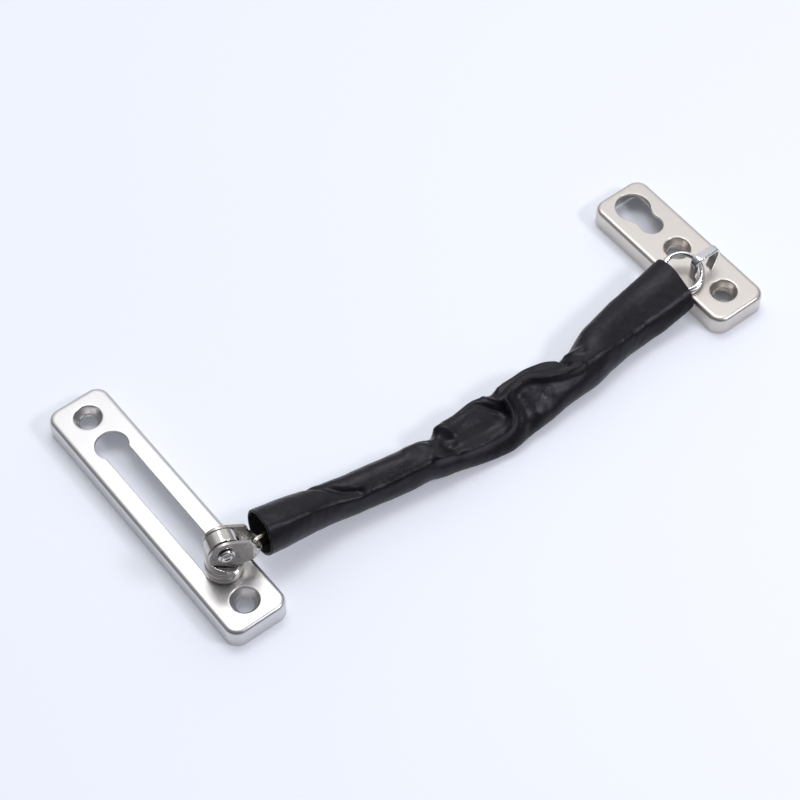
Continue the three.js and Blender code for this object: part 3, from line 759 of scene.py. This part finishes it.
def turn_points(target, degrees, axis, place):
    """Turns a mesh about an axis through the origin, then moves it, in millimetres."""
    turn = Matrix.Rotation(math.radians(degrees), 4, axis)
    target.data.transform(Matrix.Translation(Vector(place) * MM) @ turn)


def pocket_outline():
    """What the ears need beside the knuckle, from the yoke's lowest tilt round to upright."""
    reach = 2.4 * HEAD_RADIUS
    start = -90 - YOKE_LOWEST_TILT
    outline = [(-reach, reach), (-reach, 0)]
    outline += [tuple(polar(POCKET_RADIUS, 180 + (180 + start) * i / 16)) for i in range(17)]
    last = np.array(outline[-1])
    away = polar(reach, -YOKE_LOWEST_TILT)
    outline += [tuple(last + away), (reach * 1.4, reach)]
    return outline


def swivel_head(middle):
    """The cast head: a flange, a groove, and a knuckle between two pockets for the ears."""
    low, high = node_box("swivel_head")
    base = low[2]
    flange = base + FLANGE_HEIGHT
    top = high[2] + 1
    profile = [
        (0, base),
        (HEAD_RADIUS, base),
        (HEAD_RADIUS, flange - 0.25),
        (HEAD_RADIUS - 0.75, flange + 0.1),
        (HEAD_BODY_RADIUS - 0.55, flange + 0.5),
        (HEAD_BODY_RADIUS, flange + 1),
        (HEAD_BODY_RADIUS, top),
        (0, top),
    ]
    solid = turned(Shape(), rounded_profile(profile, 0.8))
    body = solid.made("swivel_body", (0, 0, 0), SLIDER_NICKEL, "slider_nickel")
    axis = base + RIVET_ABOVE_BASE
    barrel_outline = [(KNUCKLE_RADIUS + 0.5, base - 2)]
    barrel_outline += [tuple(polar(KNUCKLE_RADIUS, 180 * i / 40) + (0, axis)) for i in range(41)]
    barrel_outline += [(-KNUCKLE_RADIUS - 0.5, base - 2)]
    barrel_outline = [(x * (1.1 if z < axis else 1), z) for x, z in barrel_outline]
    barrel = extruded("barrel", barrel_outline, -8, 8, SLIDER_NICKEL, "slider_nickel")
    cut(body, [barrel], "INTERSECT")
    for low_y, high_y in ((KNUCKLE_HALF_WIDTH, 9), (-9, -KNUCKLE_HALF_WIDTH)):
        outline = [(x, z + axis) for x, z in pocket_outline()]
        cut(body, [extruded("pocket", outline, low_y, high_y, SLIDER_NICKEL, "slider_nickel")], "DIFFERENCE")
    softened(body, 0.13, 6)
    turn_points(body, YOKE_AZIMUTH, "Z", (middle[0], middle[1], 0))
    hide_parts("swivel_head")
    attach(body, "swivel")


def ear_outline():
    """The ear's outline beside the knuckle, narrowing to the bridge."""
    outline = [tuple(polar(EAR_RADIUS, 90 + 180 * i / 24)) for i in range(25)]
    outline += EAR_UNDERSIDE
    outline += [(YOKE_LENGTH + 1, BRIDGE_LOW), (YOKE_LENGTH + 1, BRIDGE_HIGH)]
    outline += EAR_TOP
    return outline


def yoke(middle, rivet_height):
    """A strip bent to a U: two ears on the rivet, and the bridge that the chain hangs on."""
    outside = EAR_INSIDE + EAR_THICKNESS
    bend = YOKE_LENGTH - YOKE_BEND_RADIUS
    inner = YOKE_BEND_RADIUS - EAR_THICKNESS
    back = -EAR_RADIUS - 1

    def corner(y, radius, start, end):
        return [polar(radius, start + (end - start) * i / 8) + (bend, y) for i in range(9)]

    plan = [np.array([back, -outside])]
    plan += corner(-outside + YOKE_BEND_RADIUS, YOKE_BEND_RADIUS, -90, 0)
    plan += corner(outside - YOKE_BEND_RADIUS, YOKE_BEND_RADIUS, 0, 90)
    plan += [np.array([back, outside]), np.array([back, EAR_INSIDE])]
    plan += corner(EAR_INSIDE - inner, inner, 90, 0)
    plan += corner(-EAR_INSIDE + inner, inner, 0, -90)
    plan += [np.array([back, -EAR_INSIDE])]
    shape = Shape()
    a = shape.ring([(x, y, -8) for x, y in plan])
    b = shape.ring([(x, y, 8) for x, y in plan])
    shape.strip(a, b)
    shape.cap(a, flip=True)
    shape.cap(b)
    made = shape.made("yoke_strip", (0, 0, 0), YOKE_NICKEL, "slider_nickel")
    cut(made, [extruded("ears", ear_outline(), -9, 9, YOKE_NICKEL, "slider_nickel")], "INTERSECT")
    softened(made, 0.1, 4)
    turn_points(made, YOKE_TILT, "Y", (0, 0, rivet_height))
    turn_points(made, YOKE_AZIMUTH, "Z", (middle[0], middle[1], 0))
    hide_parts("yoke")
    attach(made, "yoke")


def pivot_rivet(middle, rivet_height):
    """The cross rivet, closed at both ends to a raised ring round a hollow."""
    seat = EAR_INSIDE + EAR_THICKNESS + 0.3
    half = [
        (1.0, seat - 0.3),
        (1.0, seat),
        (RIVET_HEAD_RADIUS, seat),
        (RIVET_HEAD_RADIUS, seat + 0.35),
        (2.25, seat + 0.95),
        (1.6, seat + 0.9),
        (1.15, seat + 0.4),
        (0, seat + 0.3),
    ]
    profile = rounded_profile(half, 0.3)
    both = [(r, -h) for r, h in reversed(profile)] + [tuple(p) for p in profile]
    made = turned(Shape(), both, segments=48).made("rivet_body", (0, 0, 0), SLIDER_NICKEL, "slider_nickel")
    turn_points(made, 90, "X", (0, 0, 0))
    turn_points(made, YOKE_AZIMUTH, "Z", (middle[0], middle[1], rivet_height))
    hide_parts("pivot_rivet")
    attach(made, "swivel")


def slider_button(middle):
    """The foot under the sheet, the neck in the slot and the stud that the head turns on."""
    low, high = node_box("slider_button")
    foot = low[2] + BUTTON_FOOT_THICKNESS
    top = high[2]
    profile = [
        (0, low[2]),
        (BUTTON_FOOT_RADIUS, low[2]),
        (BUTTON_FOOT_RADIUS, foot),
        (NECK_RADIUS, foot),
        (NECK_RADIUS, BUTTON_SHOULDER),
        (STUD_RADIUS, BUTTON_SHOULDER),
        (STUD_RADIUS, top - STUD_HEAD_THICKNESS),
        (STUD_HEAD_RADIUS, top - STUD_HEAD_THICKNESS),
        (STUD_HEAD_RADIUS, top),
        (0, top),
    ]
    solid = turned(Shape(), rounded_profile(profile, 0.3))
    made = solid.made("button_body", (*middle[:2], 0), SLIDER_NICKEL, "slider_nickel")
    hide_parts("slider_button")
    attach(made, "slider")


def slider_washer(middle):
    low, high = node_box("slider_washer")
    radius = (high[0] - low[0]) / 2
    profile = [(1.9, low[2]), (radius, low[2]), (radius, high[2]), (1.9, high[2]), (1.9, low[2])]
    made = turned(Shape(), rounded_profile(profile, 0.2)).made("washer_ring", (*middle[:2], 0), YOKE_NICKEL,
                                                               "slider_nickel")
    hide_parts("slider_washer")
    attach(made, "slider")


# ---- the chain -------------------------------------------------------------------------------
def pivot_names():
    names = ["link_01_swing"]
    for n in range(2, LINK_COUNT + 1):
        names.append(f"link_{n:02d}_{'turn' if n % 2 == 0 else 'swing'}")
    return names + ["ring_swing"]


PIVOTS = [joint_place(name) for name in pivot_names()]


def tube(shape, line, radius, sides=14, closed=False, first_side=(0, 0, 1)):
    """A round wire along a line of points, with flat ends if it isn't closed."""
    line = np.asarray(line, float)
    count = len(line)
    rings = []
    side = np.array(first_side, float)
    for i in range(count):
        if closed:
            along = unit(line[(i + 1) % count] - line[i - 1])
        else:
            along = unit(line[min(i + 1, count - 1)] - line[max(i - 1, 0)])
        side = unit(side - along * (side @ along))
        other = np.cross(along, side)
        turn = [polar(radius, 360 * k / sides) for k in range(sides)]
        rings.append(shape.ring([line[i] + side * a + other * b for a, b in turn]))
    shape.strips(rings)
    if closed:
        shape.strip(rings[-1], rings[0])
    else:
        shape.cap(rings[0], flip=True)
        shape.cap(rings[-1])
    return shape


def link_line(n):
    """The middle of a link's wire, and the way square to its loop. Odd links stand on edge."""
    end = PIVOTS[n]
    along = unit(end - PIVOTS[n - 1])
    level = unit(np.cross((0, 0, 1), along))
    across = np.cross(along, level) if n % 2 == 1 else level
    straight = (LINK_PITCH + 2 * WIRE_OVER_PIVOT) / 2 - LINK_BOW_RADIUS
    middle = end + along * (WIRE_OVER_PIVOT - LINK_BOW_RADIUS - straight)
    line = []
    for side in (1, -1):
        for x in np.linspace(-straight, straight, 16):
            line.append(middle + side * (along * x - across * LINK_BOW_RADIUS))
        for i in range(1, 16):
            x, y = side * polar(LINK_BOW_RADIUS, -90 + 180 * i / 16)
            line.append(middle + along * (x + side * straight) + across * y)
    return line, np.cross(along, across)


def chain_link(n):
    """An oval link of round wire."""
    line, square = link_line(n)
    shape = tube(Shape(), line, LINK_WIRE_RADIUS, closed=True, first_side=square)
    made = shape.made(f"link_wire_{n:02d}", (0, 0, 0), CHAIN_NICKEL, "chain_nickel")
    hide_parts(f"chain_link_{n:02d}")
    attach(made, f"link_{n:02d}")


def end_ring():
    """A split ring: two turns of wire side by side, with a step where one crosses to the other."""
    middle = middle_of("end_ring")
    azimuth = math.radians(RING_RISE)
    level = np.array([math.sin(azimuth), -math.cos(azimuth), 0])
    tilt = math.radians(RING_TILT)
    rise = np.array([math.cos(azimuth) * math.cos(tilt), math.sin(azimuth) * math.cos(tilt), math.sin(tilt)])
    axis = np.cross(level, rise)
    steps, crossing, first = 140, 34, 196
    line = []
    for i in range(steps + 1):
        turn = 720 * i / steps * (1 - 6 / 720)
        share = min(max((turn - 360 + crossing) / crossing, 0), 1)
        share = share * share * (3 - 2 * share)
        side = (2 * share - 1) * (RING_WIRE_RADIUS + 0.02)
        x, y = polar(RING_OUTER_COIL + share * (RING_INNER_COIL - RING_OUTER_COIL), first + turn)
        line.append(middle + level * x + rise * y + axis * side)
    shape = tube(Shape(), line, RING_WIRE_RADIUS, sides=12, first_side=axis)
    made = shape.made("split_ring", (0, 0, 0), WIRE_STEEL, "wire_steel")
    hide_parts("end_ring")
    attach(made, "ring")


# ---- the sleeve ------------------------------------------------------------------------------
def smooth_line(points, steps):
    """A smooth line through points, with its distance along at each, and each given point's distance."""
    points = np.asarray(points, float)
    ends = np.vstack([2 * points[0] - points[1], points, 2 * points[-1] - points[-2]])
    made = []
    for i in range(1, len(ends) - 2):
        a, b, c, d = ends[i - 1 : i + 3]
        for k in range(steps):
            t = k / steps
            square = 2 * a - 5 * b + 4 * c - d
            cube = 3 * b - a - 3 * c + d
            made.append(0.5 * (2 * b + (c - a) * t + square * t**2 + cube * t**3))
    made = np.array(made + [points[-1]])
    along = np.concatenate([[0], np.cumsum(np.linalg.norm(np.diff(made, axis=0), axis=1))])
    return made, along, along[::steps]


def soft_values(at, table, column):
    """A column of a table, smoothly between its rows."""
    table = np.asarray(table, float)
    x, y = table[:, 0], table[:, column]
    slope = np.gradient(y, x)
    i = np.clip(np.searchsorted(x, at) - 1, 0, len(x) - 2)
    width = x[i + 1] - x[i]
    t = (at - x[i]) / width
    return (
        (1 + 2 * t) * (1 - t) ** 2 * y[i]
        + t * (1 - t) ** 2 * width * slope[i]
        + t * t * (3 - 2 * t) * y[i + 1]
        + t * t * (t - 1) * width * slope[i + 1]
    )


def distance_to_line(x, y, line):
    """The distance of each point to a line of straight pieces, in a plane."""
    nearest = np.full(x.shape, 1e9)
    for (ax, ay), (bx, by) in zip(line, line[1:]):
        dx, dy = bx - ax, by - ay
        t = np.clip(((x - ax) * dx + (y - ay) * dy) / (dx * dx + dy * dy), 0, 1)
        nearest = np.minimum(nearest, np.hypot(x - ax - t * dx, y - ay - t * dy))
    return nearest


def rounded_line(line):
    """The line with its corners cut twice, so that a fold along it bends softly."""
    line = [np.array(p, float) for p in line]
    for _ in range(2):
        cut_line = [line[0]]
        for a, b in zip(line, line[1:]):
            cut_line += [0.75 * a + 0.25 * b, 0.25 * a + 0.75 * b]
        line = cut_line + [line[-1]]
    return line


def surface_normals(grid):
    """Outward normals of a grid that closes round its second side."""
    along = np.gradient(grid, axis=0)
    around = np.roll(grid, -1, axis=1) - np.roll(grid, 1, axis=1)
    normals = np.cross(around, along)
    return normals / np.linalg.norm(normals, axis=2, keepdims=True)


def sleeve_surface():
    """The outside of the whole sleeve as rings of points, and where along it each ring is."""
    mouth = PIVOTS[0] + SLEEVE_MOUTH
    route = [mouth, *PIVOTS[1:], np.array(SLEEVE_END)]
    line, along, stops = smooth_line(route, 40)
    distances = np.linspace(0, along[-1], SLEEVE_RINGS)
    centres = np.stack([np.interp(distances, along, line[:, k]) for k in range(3)], axis=1)
    forward = np.gradient(centres, axis=0)
    for _ in range(6):
        forward[1:-1] = (forward[:-2] + 2 * forward[1:-1] + forward[2:]) / 4
    forward /= np.linalg.norm(forward, axis=1, keepdims=True)
    level = np.cross((0, 0, 1), forward)
    level /= np.linalg.norm(level, axis=1, keepdims=True)
    upright = np.cross(forward, level)

    degrees = np.arange(SLEEVE_SIDES) * 360 / SLEEVE_SIDES
    columns = [soft_values(distances, SLEEVE_SECTIONS, column)[:, None] for column in range(1, 6)]
    upper, lower, front, back, lean = columns
    angle = np.radians(degrees)[None, :]
    across, out = np.cos(angle), np.sin(angle)
    across = across * np.where(across > 0, upper, lower)
    out = out * np.where(out > 0, front, back)
    lean = np.radians(lean)
    side = level[:, None, :] * np.cos(lean)[..., None] + upright[:, None, :] * np.sin(lean)[..., None]
    face = upright[:, None, :] * np.cos(lean)[..., None] - level[:, None, :] * np.sin(lean)[..., None]
    grid = centres[:, None, :] + side * across[..., None] + face * out[..., None]

    around = np.linalg.norm(np.roll(grid, -1, axis=1) - grid, axis=2).sum(axis=1)
    place_along = np.repeat(distances[:, None], SLEEVE_SIDES, axis=1)
    height = np.zeros((SLEEVE_RINGS, SLEEVE_SIDES))
    per_degree = around.mean() / 360
    for stands, width, fold in FOLDS:
        line = [(s, d * per_degree) for s, d in rounded_line(fold)]
        nearest = np.full(height.shape, 1e9)
        for shift in (-360, 0, 360):
            shifted = (degrees + shift)[None, :] * per_degree
            place_round = np.repeat(shifted, SLEEVE_RINGS, axis=0)
            nearest = np.minimum(nearest, distance_to_line(place_along, place_round, line))
        height += stands * np.exp(-((nearest / width) ** 2))
    for i in range(SLEEVE_RINGS):
        for j in range(SLEEVE_SIDES):
            for depth, size in WRINKLES:
                height[i, j] += depth * noise.noise(Vector(grid[i, j] / size))
    grid = grid + surface_normals(grid) * height[..., None]
    keep_round_chain(grid, centres, forward, side[:, 0], face[:, 0])
    return grid, distances, stops


def keep_round_chain(grid, centres, forward, side, face):
    """Pushes the leather out where it would cut into the chain, as the chain does."""
    wires = np.concatenate([link_line(n)[0] for n in range(1, LINK_COUNT + 1)])
    room = LINK_WIRE_RADIUS + SLEEVE_WALL + CHAIN_ROOM
    off = grid - centres[:, None, :]
    across = (off * side[:, None, :]).sum(axis=2)
    out = (off * face[:, None, :]).sum(axis=2)
    radius = np.hypot(across, out)
    angle = np.arctan2(out, across)
    need = np.zeros(radius.shape)
    for i, centre in enumerate(centres):
        near = wires - centre
        near = near[np.abs(near @ forward[i]) < room]
        wire_across, wire_out = near @ side[i], near @ face[i]
        turn = angle[i][:, None] - np.arctan2(wire_out, wire_across)[None, :]
        reach = np.hypot(wire_out, wire_across)[None, :]
        beside = room**2 - (reach * np.sin(turn)) ** 2
        found = np.where(beside > 0, reach * np.cos(turn) + np.sqrt(np.maximum(beside, 0)), 0)
        if found.shape[1]:
            need[i] = found.max(axis=1)
    for steps, padding, axis in ((4, "edge", 0), (3, "wrap", 1)):
        wide = np.pad(need, [(steps, steps) if k == axis else (0, 0) for k in (0, 1)], mode=padding)
        need = sum(np.take(wide, range(k, k + need.shape[axis]), axis=axis) for k in range(2 * steps + 1))
        need = need / (2 * steps + 1)
    push = CHAIN_SOFTNESS * np.log1p(np.exp(np.clip((need - radius) / CHAIN_SOFTNESS, -30, 30)))
    outward = side[:, None, :] * np.cos(angle)[..., None] + face[:, None, :] * np.sin(angle)[..., None]
    grid += outward * push[..., None]


def trim_end(grid):
    """Draws the last rings back so that the sleeve ends on a plane that leans over the anchor plate."""
    lean = math.tan(math.radians(SLEEVE_TRIM_LEAN))
    first = SLEEVE_RINGS - 1 - SLEEVE_TRIM_RINGS
    steps = np.arange(SLEEVE_TRIM_RINGS + 1)
    for j in range(SLEEVE_SIDES):
        column = grid[first:, j].copy()
        beyond = column[:, 0] - lean * column[:, 2] - SLEEVE_TRIM_X
        end = np.interp(0, np.maximum.accumulate(beyond), steps)
        for k in range(3):
            grid[first:, j, k] = np.interp(steps * end / SLEEVE_TRIM_RINGS, steps, column[:, k])


def rest_on_floor(grid):
    """Presses what would reach under the floor flat against it."""
    clear, soft = 0.1, 0.6
    height = grid[..., 2]
    low = height < clear + soft
    pressed = clear + soft * np.exp((height - clear - soft) / soft)
    grid[..., 2] = np.where(low, pressed, height)


def sleeve_lining(grid, normals):
    """The inside of the leather: a wall's thickness in, and less where the tube is too narrow for that."""
    outside = KDTree(SLEEVE_RINGS * SLEEVE_SIDES)
    for number, point in enumerate(grid.reshape(-1, 3)):
        outside.insert(point, number)
    outside.balance()
    wall = np.full(SLEEVE_RINGS * SLEEVE_SIDES, SLEEVE_WALL)
    places, inward = grid.reshape(-1, 3), -normals.reshape(-1, 3)
    for _ in range(LINING_TRIES):
        lining = places + inward * wall[:, None]
        clear = np.array([outside.find(point)[2] for point in lining])
        wall = np.where(clear < LINING_CLEAR * wall, LINING_THINNED * wall, wall)
    return (places + inward * wall[:, None]).reshape(grid.shape)


def sleeve_lip(ring, ns, outward):
    """The rounded edge between the outside and the inside of an open end, as rings and their normals."""
    half = SLEEVE_WALL / 2
    made = []
    for k in range(1, LIP_STEPS):
        turn = math.pi * k / LIP_STEPS
        place = ring - half * ns + half * math.cos(turn) * ns + half * math.sin(turn) * outward
        made.append((place, math.cos(turn) * ns + math.sin(turn) * outward))
    return made


def sleeve():
    """One leather tube, cut in the middles of the links, where it moves with one link alone."""
    grid, distances, stops = sleeve_surface()
    trim_end(grid)
    rest_on_floor(grid)
    normals = surface_normals(grid)
    lining = sleeve_lining(grid, normals)
    cuts = [0]
    for n in range(1, LINK_COUNT):
        link_middle = (stops[n] + stops[n + 1]) / 2
        cuts.append(int(np.argmin(np.abs(distances - link_middle))))
    cuts.append(SLEEVE_RINGS - 1)
    for n in range(1, LINK_COUNT + 1):
        first, last = cuts[n - 1], cuts[n]
        outside, outside_normals = grid[first : last + 1], normals[first : last + 1]
        inner = lining[first : last + 1]
        rings, ring_normals = [], []
        for points, ns in zip(outside, outside_normals):
            rings.append(points)
            ring_normals.append(ns)
        if n == LINK_COUNT:
            forward = unit(grid[-1].mean(axis=0) - grid[-4].mean(axis=0))
            for points, ns in sleeve_lip(outside[-1], outside_normals[-1], forward):
                rings.append(points)
                ring_normals.append(ns)
        back_start = len(rings)
        for points, ns in zip(inner[::-1], outside_normals[::-1]):
            rings.append(points)
            ring_normals.append(-ns)
        back_end = len(rings)
        if n == 1:
            backward = unit(grid[0].mean(axis=0) - grid[3].mean(axis=0))
            for points, ns in sleeve_lip(outside[0], outside_normals[0], backward)[::-1]:
                rings.append(points)
                ring_normals.append(ns)
        shape = Shape()
        made_rings = [shape.ring(points) for points in rings]
        for a, b in zip(made_rings, made_rings[1:] + made_rings[:1]):
            shape.strip(a, b)
        made = shape.made(f"sleeve_leather_{n:02d}", (0, 0, 0), LEATHER, "leather")
        made.data.materials.append(LEATHER_BACK)
        backing = np.zeros(len(made.data.polygons), np.int32)
        backing[back_start * SLEEVE_SIDES : (back_end - 1) * SLEEVE_SIDES] = 1
        made.data.polygons.foreach_set("material_index", backing)
        made.data.normals_split_custom_set_from_vertices(np.concatenate(ring_normals).tolist())
        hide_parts(f"sleeve_part_{n:02d}")
        ride_sleeve(made, n)


def ride_sleeve(made, n):
    """The last part of the sleeve rides on its link; the others stay where they are made."""
    if n == LINK_COUNT:
        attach(made, f"link_{n:02d}")
        return

    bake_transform(made)


# ---- the stage -------------------------------------------------------------------------------
def camera():
    data = bpy.data.cameras.new("camera")
    data.lens = CAMERA_LENS
    data.sensor_width = CAMERA_SENSOR
    made = bpy.data.objects.new("camera", data)
    bpy.context.collection.objects.link(made)
    made.location = Vector(CAMERA_PLACE) * MM
    made.rotation_mode = "QUATERNION"
    made.rotation_quaternion = (Vector(CAMERA_AIM) - Vector(CAMERA_PLACE)).to_track_quat("-Z", "Y")
    bpy.context.scene.camera = made


def glow_with_painted_plate_shade(nodes, links, at):
    """The table's glow, with painted shade: it is weaker inside the outline of each plate, where the plate
    lies at rest.
    """
    glow = None
    for node in ("slot_plate", "anchor_plate"):
        low, high = node_box(node)
        centre = nodes.new("ShaderNodeVectorMath")
        centre.operation = "SUBTRACT"
        centre.inputs[1].default_value = tuple((low + high) / 2 * MM)
        links.new(at, centre.inputs[0])
        size = nodes.new("ShaderNodeVectorMath")
        size.operation = "ABSOLUTE"
        links.new(centre.outputs[0], size.inputs[0])
        axes = nodes.new("ShaderNodeSeparateXYZ")
        links.new(size.outputs[0], axes.inputs[0])
        # painted shade: the glow drops to this share inside the plate's outline
        half = (high - low) / 2 - SHEET
        least = GLOW_LEFT_IN_PAINTED_SHADE[node]
        across = between(nodes, links, axes.outputs["X"], least, 1, (half[0] - 1) * MM, half[0] * MM)
        along = between(nodes, links, axes.outputs["Y"], least, 1, (half[1] - 1) * MM, half[1] * MM)
        outside = nodes.new("ShaderNodeMath")
        outside.operation = "MAXIMUM"
        links.new(across, outside.inputs[0])
        links.new(along, outside.inputs[1])
        product = nodes.new("ShaderNodeMath")
        product.operation = "MULTIPLY"
        product.inputs[1].default_value = FLOOR_GLOW
        links.new(outside.outputs[0], product.inputs[0])
        if glow is not None:
            links.new(glow, product.inputs[1])
        glow = product.outputs[0]
    return glow


def floor():
    reach = FLOOR_REACH
    corners = [(-reach, -reach, 0), (reach, -reach, 0), (reach, reach, 0), (-reach, reach, 0)]
    shape = Shape()
    shape.faces.append(tuple(shape.ring(corners)))
    material, nodes, links, shader, at = node_material("paper", (0.86, 0.88, 0.93), 0.75, 0)
    mesh = bpy.data.meshes.new("floor")
    mesh.from_pydata([tuple(np.array(p) * MM) for p in shape.points], [], shape.faces)
    made = bpy.data.objects.new("floor", mesh)
    bpy.context.collection.objects.link(made)
    made.data.materials.append(material)
    clouds = noise_texture(nodes, links, at, 3, 2)
    links.new(two_colours(nodes, links, clouds, (0.82, 0.85, 0.935), (0.83, 0.86, 0.945)),
              shader.inputs["Base Color"])
    shader.inputs["Emission Color"].default_value = (0.9, 0.94, 1, 1)
    # the floor's glow carries painted shade under the two plates
    links.new(glow_with_painted_plate_shade(nodes, links, at), shader.inputs["Emission Strength"])


def softbox(name, place, aim, size, power, colour):
    data = bpy.data.lights.new(name, "AREA")
    data.shape = "RECTANGLE"
    data.size, data.size_y = size
    data.energy = power
    data.color = colour
    made = bpy.data.objects.new(name, data)
    bpy.context.collection.objects.link(made)
    made.location = place
    made.rotation_mode = "QUATERNION"
    made.rotation_quaternion = (Vector(aim) - Vector(place)).to_track_quat("-Z", "Y")


def studio():
    """A pale tent that is bright behind the part and dim on the camera's side, and a soft key light."""
    softbox("key", KEY_PLACE, (0, 0, 0), KEY_SIZE, KEY_POWER, (1, 0.99, 0.98))
    softbox("fill", FILL_PLACE, (0, 0, 0), FILL_SIZE, FILL_POWER, (0.93, 0.92, 1))
    world = bpy.data.worlds.new("tent")
    bpy.context.scene.world = world
    world.use_nodes = True
    nodes, links = world.node_tree.nodes, world.node_tree.links
    direction = nodes.new("ShaderNodeTexCoord").outputs["Generated"]
    toward = nodes.new("ShaderNodeVectorMath")
    toward.operation = "DOT_PRODUCT"
    toward.inputs[1].default_value = tuple(unit(TENT_BRIGHTEST))
    links.new(direction, toward.inputs[0])
    ramp_node = nodes.new("ShaderNodeValToRGB")
    ramp = ramp_node.color_ramp
    first, last = TENT_LEVELS[0][0], TENT_LEVELS[-1][0]
    for number, (facing, level) in enumerate(TENT_LEVELS):
        place = (facing - first) / (last - first)
        stop = ramp.elements[0] if number == 0 else ramp.elements.new(place)
        stop.position = place
        stop.color = (*(level * np.array(TENT_COLOUR)), 1)
    spread = between(nodes, links, toward.outputs["Value"], 0, 1, first, last)
    links.new(spread, ramp_node.inputs["Fac"])
    links.new(ramp_node.outputs["Color"], nodes["Background"].inputs["Color"])
    bpy.context.scene.view_settings.view_transform = "Standard"


# ---- everything in its place -----------------------------------------------------------------
camera()
floor()
studio()

slot_plate()
anchor_plate()
anchor_eye()

slider_middle = middle_of("slider_button")
rivet_at = joint_place("yoke_tilt")[2]
slider_button(slider_middle)
slider_washer(slider_middle)
swivel_head(slider_middle)
yoke(slider_middle, rivet_at)
pivot_rivet(slider_middle, rivet_at)
for number in range(1, LINK_COUNT + 1):
    chain_link(number)
end_ring()
sleeve()
